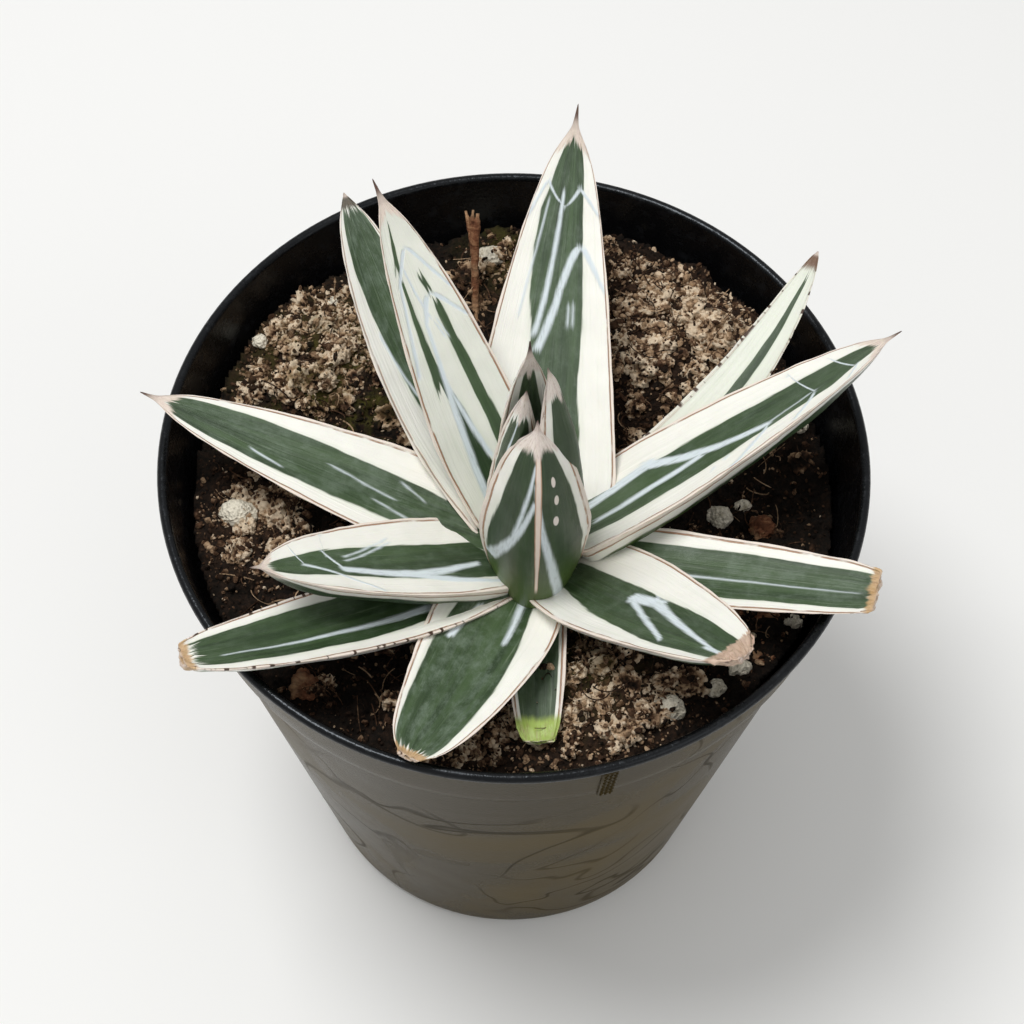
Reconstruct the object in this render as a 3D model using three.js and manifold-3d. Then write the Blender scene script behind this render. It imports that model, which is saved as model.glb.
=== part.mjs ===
// A variegated agave rosette in a round black nursery pot.
// Millimetres, +Z up. The origin is the centre of the pot's underside, and -Y is the front.
import * as THREE from "three";
import { mergeVertices } from "three/addons/utils/BufferGeometryUtils.js";
import Module from "manifold-3d";

const wasm = await Module();
wasm.setup();

// ---- Driving dimensions ----
const POT_HEIGHT = 107;
const RIM_RADIUS = 54; // outside of the rolled lip
const FOOT_RADIUS = 36.5;
const WALL = 0.9;
const LIP_RADIUS = 0.8; // half the thickness of the rolled lip
const BAND_HEIGHT = 13.5; // the straight collar under the lip
const BAND_STEP = 1; // the wall stands this far inside the collar
const MOULD_MARK_AZIMUTH = -74.5; // where the raised pad lies on the collar
const POT_SIDES = 40;
const DRAIN_HOLES = 6;
const DRAIN_HOLE_RADIUS = 3.2;
const DRAIN_RING_RADIUS = 25; // the holes' middles lie on it

const SOIL_DEPTH_BELOW_RIM = 11;
const SOIL_LEVEL = POT_HEIGHT - SOIL_DEPTH_BELOW_RIM;
const SOIL_SIDES = 30;
const GAP = 0.35; // clearance that keeps neighbouring solids apart

const CROWN = new THREE.Vector3(3, -13, SOIL_LEVEL + 5); // where the leaves leave the stem
const STEM_RADIUS = 5;
const STEM_LENGTH = 17;

// ---- Helpers ----
const radians = THREE.MathUtils.degToRad;
const { lerp } = THREE.MathUtils;

/** A closed solid from a three.js geometry. */
function solid(geometry) {
  const bare = new THREE.BufferGeometry().setAttribute("position", geometry.getAttribute("position"));
  if (geometry.index) bare.setIndex(geometry.index);
  const merged = mergeVertices(bare, 1e-3);
  return new wasm.Manifold(
    new wasm.Mesh({
      numProp: 3,
      vertProperties: new Float32Array(merged.attributes.position.array),
      triVerts: new Uint32Array(merged.index.array),
    }),
  );
}

/** The three.js geometry of the largest body of a solid. */
function geometryOf(whole) {
  const bodies = whole.decompose().sort((a, b) => b.volume() - a.volume());
  const mesh = bodies[0].getMesh();
  return new THREE.BufferGeometry()
    .setAttribute("position", new THREE.BufferAttribute(new Float32Array(mesh.vertProperties), 3))
    .setIndex(new THREE.BufferAttribute(new Uint32Array(mesh.triVerts), 1));
}

/** Moves every vertex of a geometry to the place that shape(vertex) gives. */
function reshape(geometry, shape) {
  const position = geometry.getAttribute("position");
  const vertex = new THREE.Vector3();
  for (let i = 0; i < position.count; i++) {
    const moved = shape(vertex.fromBufferAttribute(position, i).clone());
    position.setXYZ(i, moved.x, moved.y, moved.z);
  }
  return geometry;
}

function part(name, geometry, material) {
  const mesh = new THREE.Mesh(geometry, material);
  mesh.name = name;
  return mesh;
}

function finish(color, roughness, metalness = 0) {
  return new THREE.MeshStandardMaterial({ color, roughness, metalness });
}

// ---- Materials ----
const potPlastic = finish(0x2b2822, 0.3);
const pottingMix = finish(0x4a3a2c, 0.95);
const leafGreen = finish(0x4d6a4e, 0.45);
const stemBrown = finish(0x8a7552, 0.8);
const perliteWhite = finish(0xd8d4ca, 0.9);
const barkBrown = finish(0x7a4a30, 0.9);

// ---- The pot ----
const BAND_TOP_RADIUS = RIM_RADIUS - LIP_RADIUS * 0.75;
const BAND_BOTTOM_RADIUS = RIM_RADIUS - 2.4;
const WALL_TOP_RADIUS = BAND_BOTTOM_RADIUS - BAND_STEP;
const BAND_BOTTOM = POT_HEIGHT - BAND_HEIGHT;
const WALL_TOP = BAND_BOTTOM - 0.6;
const FLOOR_LIFT = 2; // the drainage ring stands this far off the ground
const INNER_CORNER = FLOOR_LIFT + 1.5; // where the inside of the wall starts

/** Radius of the pot's inside at height z, under the collar. */
function insideRadius(z) {
  return lerp(FOOT_RADIUS, WALL_TOP_RADIUS, (z - INNER_CORNER) / (WALL_TOP - INNER_CORNER)) - WALL;
}

function potGeometry() {
  const profile = new THREE.Path();
  profile.moveTo(0, 0);
  profile.lineTo(17, 0); // the flat middle of the underside
  profile.lineTo(19, FLOOR_LIFT);
  profile.lineTo(30, FLOOR_LIFT);
  profile.lineTo(32, 0);
  profile.lineTo(FOOT_RADIUS - 2.5, 0);
  profile.quadraticCurveTo(FOOT_RADIUS - 0.3, 0, FOOT_RADIUS, 2.5);
  profile.lineTo(WALL_TOP_RADIUS, WALL_TOP);
  profile.lineTo(BAND_BOTTOM_RADIUS, BAND_BOTTOM);
  profile.lineTo(BAND_TOP_RADIUS, POT_HEIGHT - 2 * LIP_RADIUS);
  profile.absarc(RIM_RADIUS - LIP_RADIUS, POT_HEIGHT - LIP_RADIUS, LIP_RADIUS, -0.6, Math.PI, false);
  profile.lineTo(BAND_BOTTOM_RADIUS - WALL, BAND_BOTTOM + 0.4);
  profile.lineTo(WALL_TOP_RADIUS - WALL, WALL_TOP);
  profile.lineTo(FOOT_RADIUS - WALL, INNER_CORNER);
  profile.lineTo(FOOT_RADIUS - 2, FLOOR_LIFT + WALL);
  profile.lineTo(0, FLOOR_LIFT + WALL);
  const points = profile.getPoints(3).map((p) => new THREE.Vector2(Math.max(p.x, 0), p.y));
  const lathe = new THREE.LatheGeometry(points, POT_SIDES).rotateX(Math.PI / 2);
  let pot = solid(lathe);
  for (let i = 0; i < DRAIN_HOLES; i++) {
    const angle = (2 * Math.PI * i) / DRAIN_HOLES;
    const drill = new THREE.CylinderGeometry(DRAIN_HOLE_RADIUS, DRAIN_HOLE_RADIUS, 12, 10)
      .rotateX(Math.PI / 2)
      .translate(DRAIN_RING_RADIUS * Math.cos(angle), DRAIN_RING_RADIUS * Math.sin(angle), 0);
    pot = pot.subtract(solid(drill));
  }
  return pot.add(solid(mouldMark()));
}

/** The small raised, stippled pad across the collar. */
function mouldMark() {
  const middle = (BAND_TOP_RADIUS + BAND_BOTTOM_RADIUS) / 2;
  return new THREE.BoxGeometry(1, 2.5, BAND_HEIGHT - 2)
    .rotateY(Math.atan((BAND_TOP_RADIUS - BAND_BOTTOM_RADIUS) / BAND_HEIGHT))
    .translate(middle - 0.2, 0, BAND_BOTTOM + BAND_HEIGHT / 2 - 0.9)
    .rotateZ(radians(MOULD_MARK_AZIMUTH));
}

// ---- The potting mix ----
// Each mound or hollow: place, radius and height over the level of the mix.
const MOUNDS = [
  { x: -31, y: 24, radius: 13, height: 5 },
  { x: 25, y: 29, radius: 15, height: 7 },
  { x: 8, y: 42, radius: 10, height: 4 },
  { x: -36, y: -8, radius: 12, height: 1.5 },
  { x: 14, y: -38, radius: 10, height: 3 },
  { x: 36, y: 2, radius: 13, height: -4 },
  { x: -24, y: -32, radius: 10, height: -2 },
];

/** Height of the potting mix at a place in the pot. */
function soilHeight(x, y) {
  return MOUNDS.reduce(
    (z, m) => z + m.height * Math.exp(-((x - m.x) ** 2 + (y - m.y) ** 2) / m.radius ** 2),
    SOIL_LEVEL,
  );
}

function soilGeometry() {
  const bottom = FLOOR_LIFT + WALL + GAP;
  const radius = BAND_BOTTOM_RADIUS - WALL - GAP;
  const inside = (z) => insideRadius(z) - GAP;
  const side = [
    [0, bottom],
    [inside(INNER_CORNER) - 2, bottom],
    [inside(INNER_CORNER + 3), INNER_CORNER + 3],
    [inside(WALL_TOP - 0.5), WALL_TOP - 0.5],
    [radius, BAND_BOTTOM + 0.8],
  ];
  const rings = 7;
  const top = Array.from({ length: rings + 1 }, (_, i) => [radius * (1 - i / rings), SOIL_LEVEL]);
  const points = [...side, ...top].map(([r, z]) => new THREE.Vector2(r, z));
  const lathe = new THREE.LatheGeometry(points, SOIL_SIDES).rotateX(Math.PI / 2);
  return reshape(lathe, (v) => {
    if (v.z === SOIL_LEVEL) v.z = soilHeight(v.x, v.y);
    return v;
  });
}

// ---- The leaves ----
// azimuth: where the leaf points, from +X. rise: its angle above the ground at its base. curl: how much steeper it
// is at the tip. sweep: how far it has turned sideways by the tip. roll: its turn about its midrib. length: without
// the end spine. lift: its base over the crown. reach: its base from the stem's axis. cup: how far the margins stand
// over the midrib. belly: where it is widest. base and tip: the width at the ends, as a share of the widest.
// point: 1 tapers straight to the tip, more is rounder. The first leaves are the innermost.
const PLAIN_LEAF = {
  curl: 0,
  sweep: 0,
  roll: 0,
  thickness: 5,
  lift: 0,
  reach: 5.5,
  cup: 1.2,
  belly: 0.3,
  base: 0.8,
  tip: 0,
  point: 1.25,
  spine: 0,
};
const HEART_LEAF = { thickness: 2.4, lift: 1, cup: 3, spine: 2, belly: 0.3 };
const LEAVES = {
  heart_back: {
    ...HEART_LEAF, azimuth: 112, rise: 90, length: 44, width: 11, thickness: 7, reach: 3, lift: 2, cup: 0, spine: 4,
  },
  heart_right: { ...HEART_LEAF, azimuth: -20, rise: 86, curl: 16, roll: -10, length: 46, width: 11, reach: 5 },
  heart_left: { ...HEART_LEAF, azimuth: 215, rise: 90, curl: 8, roll: 36, length: 41, width: 8.5, reach: 5 },
  heart_front: {
    ...HEART_LEAF, azimuth: -88, rise: 82, curl: 30, length: 38, width: 16.5, thickness: 3.5, lift: 0, reach: 8,
    cup: 5.5, belly: 0.4, point: 1.3,
  },
  leaf_back_left: { azimuth: 121, rise: 42, curl: 6, sweep: 2, length: 52, width: 15, thickness: 6, spine: 4 },
  leaf_front_left: {
    azimuth: 201, rise: 26, curl: 4, roll: 15, length: 40, width: 17.5, thickness: 7.5, base: 0.9, spine: 2,
    point: 1.65,
  },
  leaf_right: {
    azimuth: 24, rise: 21, curl: 4, roll: -24, length: 55, width: 18, thickness: 8, lift: 1, base: 0.9, spine: 3,
  },
  leaf_back: {
    azimuth: 86, rise: 27, curl: 5, sweep: -3, length: 59, width: 24, belly: 0.1, base: 0.9, point: 1.05, spine: 4,
  },
  leaf_front_right: { azimuth: -44, rise: 28, curl: 4, roll: -10, length: 40, width: 20, thickness: 7, tip: 0.15 },
  leaf_left: { azimuth: 163, rise: 12, curl: 2, length: 55, width: 16, spine: 3 },
  leaf_far_left: {
    azimuth: 129, rise: 23, curl: 4, sweep: -15, length: 56, width: 14, lift: -1, spine: 1, point: 1.65,
  },
  leaf_far_right: { azimuth: 28, rise: 20, curl: 4, sweep: 33, length: 59, width: 11, lift: -3, spine: 1 },
  leaf_low_front: { azimuth: -110, rise: 13, curl: 2, sweep: -8, length: 38, width: 19, tip: 0.2 },
  leaf_low_left: {
    azimuth: 214, rise: 16, curl: 1, sweep: -13, roll: 12, length: 52, width: 16, thickness: 6.5, tip: 0.3, lift: -2,
  },
  leaf_low_right: { azimuth: -15, rise: 15, length: 47, width: 13, tip: 0.55, thickness: 4, lift: -1 },
  leaf_stub: { azimuth: -88, rise: -3, length: 26, width: 9.5, tip: 0.5, thickness: 3 },
};
const MARGIN_THICKNESS = 0.6;

/** The unit vector with an azimuth from +X and an angle above the ground, in degrees. */
function direction(azimuth, rise) {
  const [a, e] = [radians(azimuth), radians(rise)];
  return new THREE.Vector3(Math.cos(a) * Math.cos(e), Math.sin(a) * Math.cos(e), Math.sin(e));
}

/** The place and axes of a leaf's midrib at t, from 0 at the base to 1 at the tip. It runs in an arc. */
function midrib(leaf, t) {
  const halfBend = (leaf.curl * t) / 2;
  const halfTurn = (leaf.sweep * t) / 2;
  const arc = radians(halfBend) || 1e-6;
  const chord = (leaf.length * t * Math.sin(arc)) / arc;
  const place = CROWN.clone().addScaledVector(direction(leaf.azimuth, 0), leaf.reach);
  place.z += leaf.lift;
  place.addScaledVector(direction(leaf.azimuth + halfTurn, leaf.rise + halfBend), chord);
  const tangent = direction(leaf.azimuth + 2 * halfTurn, leaf.rise + 2 * halfBend);
  const side = direction(leaf.azimuth + 2 * halfTurn + 90, 0).applyAxisAngle(tangent, radians(leaf.roll));
  return { place, tangent, side, normal: tangent.clone().cross(side) };
}

/** Half the leaf's width at t, as a share of its widest. */
function outline({ belly, base, point, tip }, t) {
  if (t < belly) return lerp(base, 1, Math.sin((Math.PI / 2) * (t / belly)));
  const s = (t - belly) / (1 - belly);
  return lerp(tip, 1, Math.pow(1 - Math.pow(s, point), 0.55));
}

/** A leaf: crescent sections, keeled underneath, lofted along the midrib, and a spine on the last two stations. */
function leafGeometry(shape, grow = 0) {
  const leaf = { ...PLAIN_LEAF, ...shape };
  const stations = 10;
  const sides = 14;
  const bodyShare = leaf.spine ? 1 - 2 / stations : 1;
  const tube = new THREE.CylinderGeometry(1, 1, 1, sides, stations).rotateX(Math.PI / 2);
  return reshape(tube, (v) => {
    const share = v.z + 0.5;
    const t = Math.min(share / bodyShare, 1);
    const onSpine = Math.max(0, share - bodyShare) / (2 / stations);
    const { place, tangent, side, normal } = midrib(leaf, t);
    const slimming = lerp(1, 0.15, onSpine);
    const relative = Math.max(outline(leaf, t), 0.08);
    const across = v.x / Math.cos(Math.PI / sides);
    const thickness = leaf.thickness * lerp(1, 0.6, t) * Math.min(1, relative * 1.5);
    const keel = lerp(2.4, 1.3, t);
    const deep = Math.max(thickness * (1 - Math.pow(Math.abs(across), keel)), MARGIN_THICKNESS) * slimming;
    const isCapCentre = Math.hypot(v.x, v.y) < 0.5;
    const under = isCapCentre ? 0.5 : v.y > 0 ? 0 : 1;
    const raised = 2 * grow; // the cupped margins stand steeply, so the faces move further than the margins
    const height = leaf.cup * relative * across * across + raised - (deep + 2 * raised) * under;
    return place
      .addScaledVector(tangent, onSpine * leaf.spine + grow * Math.sign(share - 0.5))
      .addScaledVector(side, ((relative * leaf.width * slimming) / 2 + grow) * across)
      .addScaledVector(normal, height);
  });
}

/** The short stem that carries the leaves, with its swollen foot in the potting mix. */
function stemGeometry(grow = 0) {
  const profile = [
    [0, -STEM_LENGTH - grow],
    [STEM_RADIUS * 0.8 + grow, -STEM_LENGTH - grow],
    [STEM_RADIUS * 1.3 + grow, -STEM_LENGTH * 0.65],
    [STEM_RADIUS + grow, -STEM_LENGTH * 0.3],
    [STEM_RADIUS + grow, grow],
    [0, grow],
  ];
  const points = profile.map(([r, z]) => new THREE.Vector2(r, z));
  return new THREE.LatheGeometry(points, 16).rotateX(Math.PI / 2).translate(CROWN.x, CROWN.y, CROWN.z);
}

// ---- What lies on the potting mix ----
// Grains of expanded perlite: place and size.
const PERLITE = [
  { x: -4, y: 44, size: 5 },
  { x: -30, y: 32, size: 3 },
  { x: -41, y: 25, size: 2.4 },
  { x: -42, y: -6, size: 6 },
  { x: -41, y: -12.5, size: 2.5 },
  { x: -35, y: -30, size: 2.4 },
  { x: 34, y: -30.5, size: 3.8 },
  { x: 30.5, y: -34, size: 3 },
  { x: 23, y: -38, size: 5 },
  { x: 32, y: -3, size: 4.7 },
  { x: 36, y: -0.5, size: 2.5 },
  { x: 45, y: 13, size: 3.2 },
  { x: 43, y: -18, size: 3.8 },
  { x: 42.5, y: -22.5, size: 2.6 },
];
// Bits of bark and dried leaf: place, the way they point, length, width and thickness.
const BARK = [
  { x: 37, y: -21.5, azimuth: 8, length: 8.5, width: 3.2, thickness: 1.4 },
  { x: 38, y: -27.5, azimuth: 60, length: 4.6, width: 3.6, thickness: 2.6 },
  { x: -31, y: -34.5, azimuth: 20, length: 5.2, width: 4.4, thickness: 3 },
  { x: 26.5, y: -9.5, azimuth: 35, length: 5, width: 3, thickness: 1.6 },
  { x: 38.5, y: -5, azimuth: 80, length: 5.5, width: 4, thickness: 4.5 },
];

const TWIG_RADIUS = 0.8;

/** A lump with an irregular surface. The same seed gives the same lump. */
function lumpGeometry(seed, length, width, thickness) {
  const lump = new THREE.IcosahedronGeometry(0.5, 1);
  return reshape(lump, (v) => {
    const bulge = Math.sin(9 * v.x + 3 * seed) * Math.cos(7 * v.y + 5 * seed) + Math.sin(8 * v.z + seed);
    return v.multiplyScalar(1 + 0.12 * bulge).multiply(new THREE.Vector3(length, width, thickness));
  });
}

/** A lump that sits half sunk in the potting mix. */
function onSoil(geometry, { x, y, azimuth = 0 }) {
  return geometry.rotateZ(radians(azimuth)).translate(x, y, soilHeight(x, y));
}

const perliteGrain = (grain, i, grow = 0) => {
  const size = grain.size + 2 * grow;
  return onSoil(lumpGeometry(i, size, size * 0.85, size * 0.8), grain);
};
const barkBit = (bit, i, grow = 0) =>
  onSoil(lumpGeometry(i, bit.length + 2 * grow, bit.width + 2 * grow, bit.thickness + 2 * grow), bit);

/** A dry twig that leans on the clumps behind the rosette. */
function twigGeometry(grow = 0) {
  const route = new THREE.CatmullRomCurve3([
    new THREE.Vector3(-7.5, 34, 95),
    new THREE.Vector3(-7, 37, 99),
    new THREE.Vector3(-7.6, 40, 102.5),
    new THREE.Vector3(-6, 42.5, 106),
  ]);
  const section = new THREE.Shape().absarc(0, 0, TWIG_RADIUS + grow, 0, 2 * Math.PI);
  return new THREE.ExtrudeGeometry(section, { steps: 6, curveSegments: 6, extrudePath: route });
}

// ---- The whole plant ----
// Each solid is cut back by the grown shapes of those named before it, so that neighbours keep their clearance.
const agave = new THREE.Group();
const rosette = new THREE.Group();
rosette.add(part("stem", geometryOf(solid(stemGeometry())), stemBrown));
let taken = solid(stemGeometry(GAP));
for (const [name, shape] of Object.entries(LEAVES)) {
  rosette.add(part(name, geometryOf(solid(leafGeometry(shape)).subtract(taken)), leafGreen));
  taken = taken.add(solid(leafGeometry(shape, GAP)));
}

const litter = new THREE.Group();
const lay = (name, make, material) => {
  litter.add(part(name, geometryOf(solid(make(0)).subtract(taken)), material));
  taken = taken.add(solid(make(GAP)));
};
PERLITE.forEach((grain, i) => lay(`perlite_${i + 1}`, (grow) => perliteGrain(grain, i, grow), perliteWhite));
BARK.forEach((bit, i) => lay(`bark_${i + 1}`, (grow) => barkBit(bit, i, grow), barkBrown));
lay("twig", twigGeometry, barkBrown);

agave.add(part("pot", geometryOf(potGeometry()), potPlastic));
agave.add(part("soil", geometryOf(solid(soilGeometry()).subtract(taken)), pottingMix));
agave.add(rosette, litter);
export default agave;
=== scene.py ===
"""A variegated agave rosette in a black nursery pot: its finished surfaces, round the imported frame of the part."""

import math
import random

import bmesh
import bpy
import numpy as np
from bpy.props import FloatProperty, FloatVectorProperty, IntProperty, PointerProperty
from mathutils import Euler, Matrix, Vector
from mathutils.bvhtree import BVHTree


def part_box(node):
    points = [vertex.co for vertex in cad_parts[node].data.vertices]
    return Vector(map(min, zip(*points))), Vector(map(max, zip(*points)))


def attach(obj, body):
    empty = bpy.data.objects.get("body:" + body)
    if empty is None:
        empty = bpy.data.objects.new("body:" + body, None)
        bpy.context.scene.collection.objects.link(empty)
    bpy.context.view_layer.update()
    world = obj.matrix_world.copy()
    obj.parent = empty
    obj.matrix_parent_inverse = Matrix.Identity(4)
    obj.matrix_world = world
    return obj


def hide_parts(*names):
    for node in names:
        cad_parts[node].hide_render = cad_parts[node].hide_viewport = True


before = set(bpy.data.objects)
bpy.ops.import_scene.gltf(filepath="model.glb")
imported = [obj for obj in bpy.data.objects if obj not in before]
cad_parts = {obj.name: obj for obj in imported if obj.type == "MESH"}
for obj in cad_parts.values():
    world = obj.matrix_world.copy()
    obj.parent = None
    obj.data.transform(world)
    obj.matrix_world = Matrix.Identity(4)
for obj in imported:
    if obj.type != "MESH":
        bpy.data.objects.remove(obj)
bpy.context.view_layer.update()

bl_info = {
    "name": "Potted agave",
    "version": (1, 0, 0),
    "blender": (4, 5, 0),
    "location": "3D View > Sidebar > Agave",
    "description": "Builds a variegated agave rosette, its nursery pot and its potting mix",
    "category": "Object",
}

MM = 0.001
POT_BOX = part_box("pot")
SOIL_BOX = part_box("soil")
STEM_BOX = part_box("stem")
CROWN = Vector(((STEM_BOX[0].x + STEM_BOX[1].x) / 2, (STEM_BOX[0].y + STEM_BOX[1].y) / 2, STEM_BOX[1].z))


def paint(red, green, blue):
    """A linear colour from screen values of 0 to 255."""

    def linear(c):
        c /= 255
        return c / 12.92 if c <= 0.04045 else ((c + 0.055) / 1.055) ** 2.4

    return (linear(red), linear(green), linear(blue), 1.0)


# ---- Sizes and colours ----


def length(name, description, default):
    return FloatProperty(name=name, description=description, default=default, unit="LENGTH", precision=4)


def colour(name, description, *rgb):
    return FloatVectorProperty(
        name=name, description=description, default=paint(*rgb), size=4, min=0, max=1, subtype="COLOR"
    )


class PotSettings(bpy.types.PropertyGroup):
    height: length("Height", "Height over the rolled lip", POT_BOX[1].z)
    rim_radius: length("Rim radius", "Outside of the rolled lip", POT_BOX[1].x)
    foot_radius: length("Foot radius", "Outside of the foot", 36.5 * MM)
    wall: length("Wall", "Thickness of the plastic", 0.9 * MM)
    lip_radius: length("Lip radius", "Half the thickness of the rolled lip", 0.8 * MM)
    band_height: length("Band height", "Height of the straight collar with its lip", 13.5 * MM)
    plastic: colour("Plastic", "Dark plastic of the wall", 54, 45, 22)
    # painted reflection: the paler clouds on the wall are reflected surroundings painted into the colour
    painted_reflection_tint: colour("Light plastic", "Paler clouds in the plastic", 98, 84, 50)
    rim: colour("Rim", "Plastic of the lip and the inside", 8, 8, 9)


class PlantSettings(bpy.types.PropertyGroup):
    station_count: IntProperty(name="Stations", description="Sections along a leaf", default=18, min=6)
    section_sides: IntProperty(name="Sides", description="Corners of a leaf's section", default=24, min=12)
    margin: length("Margin", "Thickness of a leaf's horny edge", 0.6 * MM)
    green: colour("Green", "Middle of the leaves", 66, 88, 54)
    # deep green also serves as painted shade over the underside of every leaf
    deep_green_and_shade: colour("Deep green", "Darker streaks and the underside", 32, 52, 26)
    bloom: colour("Bloom", "Grey-green haze on the green", 106, 122, 104)
    cream: colour("Cream", "Variegated stripes", 244, 243, 234)
    imprint: colour("Imprint", "Marks pressed by the neighbouring leaves", 216, 226, 230)
    edge_line: colour("Edge line", "Fine brown line inside the margin", 166, 114, 74)
    edge: colour("Edge", "Horny margin", 238, 222, 208)
    cork: colour("Cork", "Healed and dried tips", 196, 160, 112)


class SoilSettings(bpy.types.PropertyGroup):
    crumb_count: IntProperty(name="Crumbs", description="Loose crumbs on the mix", default=14000, min=100)
    large_clods: IntProperty(name="Large clods", description="Clods of more than 2 mm", default=34, min=1)
    small_clods: IntProperty(name="Small clods", description="Clods of up to 2 mm", default=420, min=3)
    fibre_count: IntProperty(name="Fibres", description="Loose fibres on the mix", default=700, min=0)
    cell: length("Cell", "Spacing of the surface's points", 0.55 * MM)
    dark: colour("Dark", "Damp mix", 22, 17, 12)
    brown: colour("Brown", "Peat and bark", 92, 66, 48)
    tan: colour("Tan", "Dry crumbs", 196, 164, 130)
    pale: colour("Pale", "Palest crumbs", 244, 222, 192)


class StageSettings(bpy.types.PropertyGroup):
    tilt: FloatProperty(
        name="Tilt", description="How far the camera looks down", default=math.radians(59.8), subtype="ANGLE"
    )
    roll: FloatProperty(
        name="Roll", description="Turn about the line of sight", default=math.radians(0.87), subtype="ANGLE"
    )
    lens: FloatProperty(name="Lens", description="Focal length", default=77.34, unit="CAMERA")
    world: colour("Surroundings", "Colour of the light from all round", 255, 255, 255)


# ---- Modelling by hand ----


def clear():
    """Leaves edit mode with nothing selected."""
    if bpy.context.mode != "OBJECT":
        bpy.ops.object.mode_set(mode="OBJECT")
    bpy.ops.object.select_all(action="DESELECT")


def named(name):
    """Names the primitive that was just added."""
    piece = bpy.context.active_object
    piece.name = name
    piece.data.name = name
    settle(piece)
    return piece


def activate(piece):
    clear()
    piece.select_set(True)
    bpy.context.view_layer.objects.active = piece


def settle(piece):
    """Turns its place, turn and scale into shape."""
    activate(piece)
    bpy.ops.object.transform_apply(location=True, rotation=True, scale=True)


def edit(piece, mode="VERT", action="DESELECT"):
    activate(piece)
    bpy.ops.object.mode_set(mode="EDIT")
    bpy.ops.mesh.select_mode(type=mode)
    bpy.ops.mesh.select_all(action=action)


def pick(piece, test, kind="verts"):
    """Selects the corners, edges or faces that pass the test, and nothing else."""
    bm = bmesh.from_edit_mesh(piece.data)
    for part in (bm.verts, bm.edges, bm.faces):
        for element in part:
            element.select_set(False)
    for element in getattr(bm, kind):
        if test(element):
            element.select_set(True)
    bm.select_flush_mode()
    bmesh.update_edit_mesh(piece.data, loop_triangles=False, destructive=False)


def extrude(x=0.0, y=0.0, z=0.0):
    bpy.ops.mesh.extrude_region_move(TRANSFORM_OT_translate={"value": (x, y, z)})


def resize(x, y, z, centre=(0, 0, 0)):
    bpy.ops.transform.resize(value=(x, y, z), center_override=centre)


def turn(angle, axis, centre=(0, 0, 0)):
    """A right-hand turn. Without a window the operator turns the other way."""
    bpy.ops.transform.rotate(value=-angle, orient_axis=axis, center_override=centre)


def modify(piece, kind, **settings):
    """Adds a modifier and applies it."""
    activate(piece)
    modifier = piece.modifiers.new(kind.lower(), kind)
    for key, value in settings.items():
        setattr(modifier, key, value)
    bpy.ops.object.modifier_apply(modifier=modifier.name)


def subdivide_surface(piece, levels):
    modify(piece, "SUBSURF", levels=levels, render_levels=levels)


def bend(piece, axis, degrees):
    modify(piece, "SIMPLE_DEFORM", deform_method="BEND", deform_axis=axis, angle=math.radians(degrees))


def cut_lengthwise_edges(piece, tall, cuts):
    """Cuts the edges that run up an upright model of a height, which is in edit mode."""
    bpy.ops.mesh.select_mode(type="EDGE")
    pick(piece, lambda e: abs(e.verts[0].co.z - e.verts[1].co.z) > tall / 2, "edges")
    bpy.ops.mesh.subdivide(number_cuts=cuts)


def lathe(name, sides, profile, foot=(0, 0, 0)):
    """Draws a round body ring by ring over its foot. Its profile is a list of (radius, height)."""
    clear()
    bpy.ops.mesh.primitive_circle_add(vertices=sides, radius=profile[0][0], fill_type="NGON", location=foot)
    body = named(name)
    edit(body, "FACE", "SELECT")
    for (radius, z), (next_radius, next_z) in zip(profile, profile[1:]):
        extrude(z=next_z - z)
        resize(next_radius / radius, next_radius / radius, 1, foot)
    face_outwards(body)
    return body


def clouds(name, size, depth=2):
    texture = bpy.data.textures.new(name, "CLOUDS")
    texture.noise_scale = size
    texture.noise_depth = depth
    return texture


def roughen(piece, size, strength, direction="NORMAL"):
    """Moves the surface in and out by a cloudy noise of a size, in metres."""
    modify(
        piece, "DISPLACE", texture=clouds(piece.name, size), texture_coords="LOCAL",
        strength=strength, mid_level=0.5, direction=direction,
    )


def face_outwards(piece):
    edit(piece, action="SELECT")
    bpy.ops.mesh.normals_make_consistent(inside=False)
    clear()


def smooth_faces(piece, angle=None):
    activate(piece)
    if angle is None:
        bpy.ops.object.shade_smooth()
    else:
        bpy.ops.object.shade_smooth_by_angle(angle=math.radians(angle))


def join(name, pieces):
    clear()
    for piece in pieces:
        piece.select_set(True)
    bpy.context.view_layer.objects.active = pieces[0]
    bpy.ops.object.join()
    pieces[0].name = name
    return pieces[0]


def hand_in(piece, slot, materials, *nodes):
    """Gives a finished piece its materials and its place in the frame."""
    clear()
    if materials:
        piece.data.materials.clear()
        for material in materials:
            piece.data.materials.append(material)
    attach(piece, "root")
    if nodes:
        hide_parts(*nodes)


def point_values(piece, name, values):
    """Stores a number at every corner, for the materials."""
    attribute = piece.data.attributes.new(name, "FLOAT", "POINT")
    attribute.data.foreach_set("value", np.asarray(values, np.float32))


# ---- Materials ----


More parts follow.
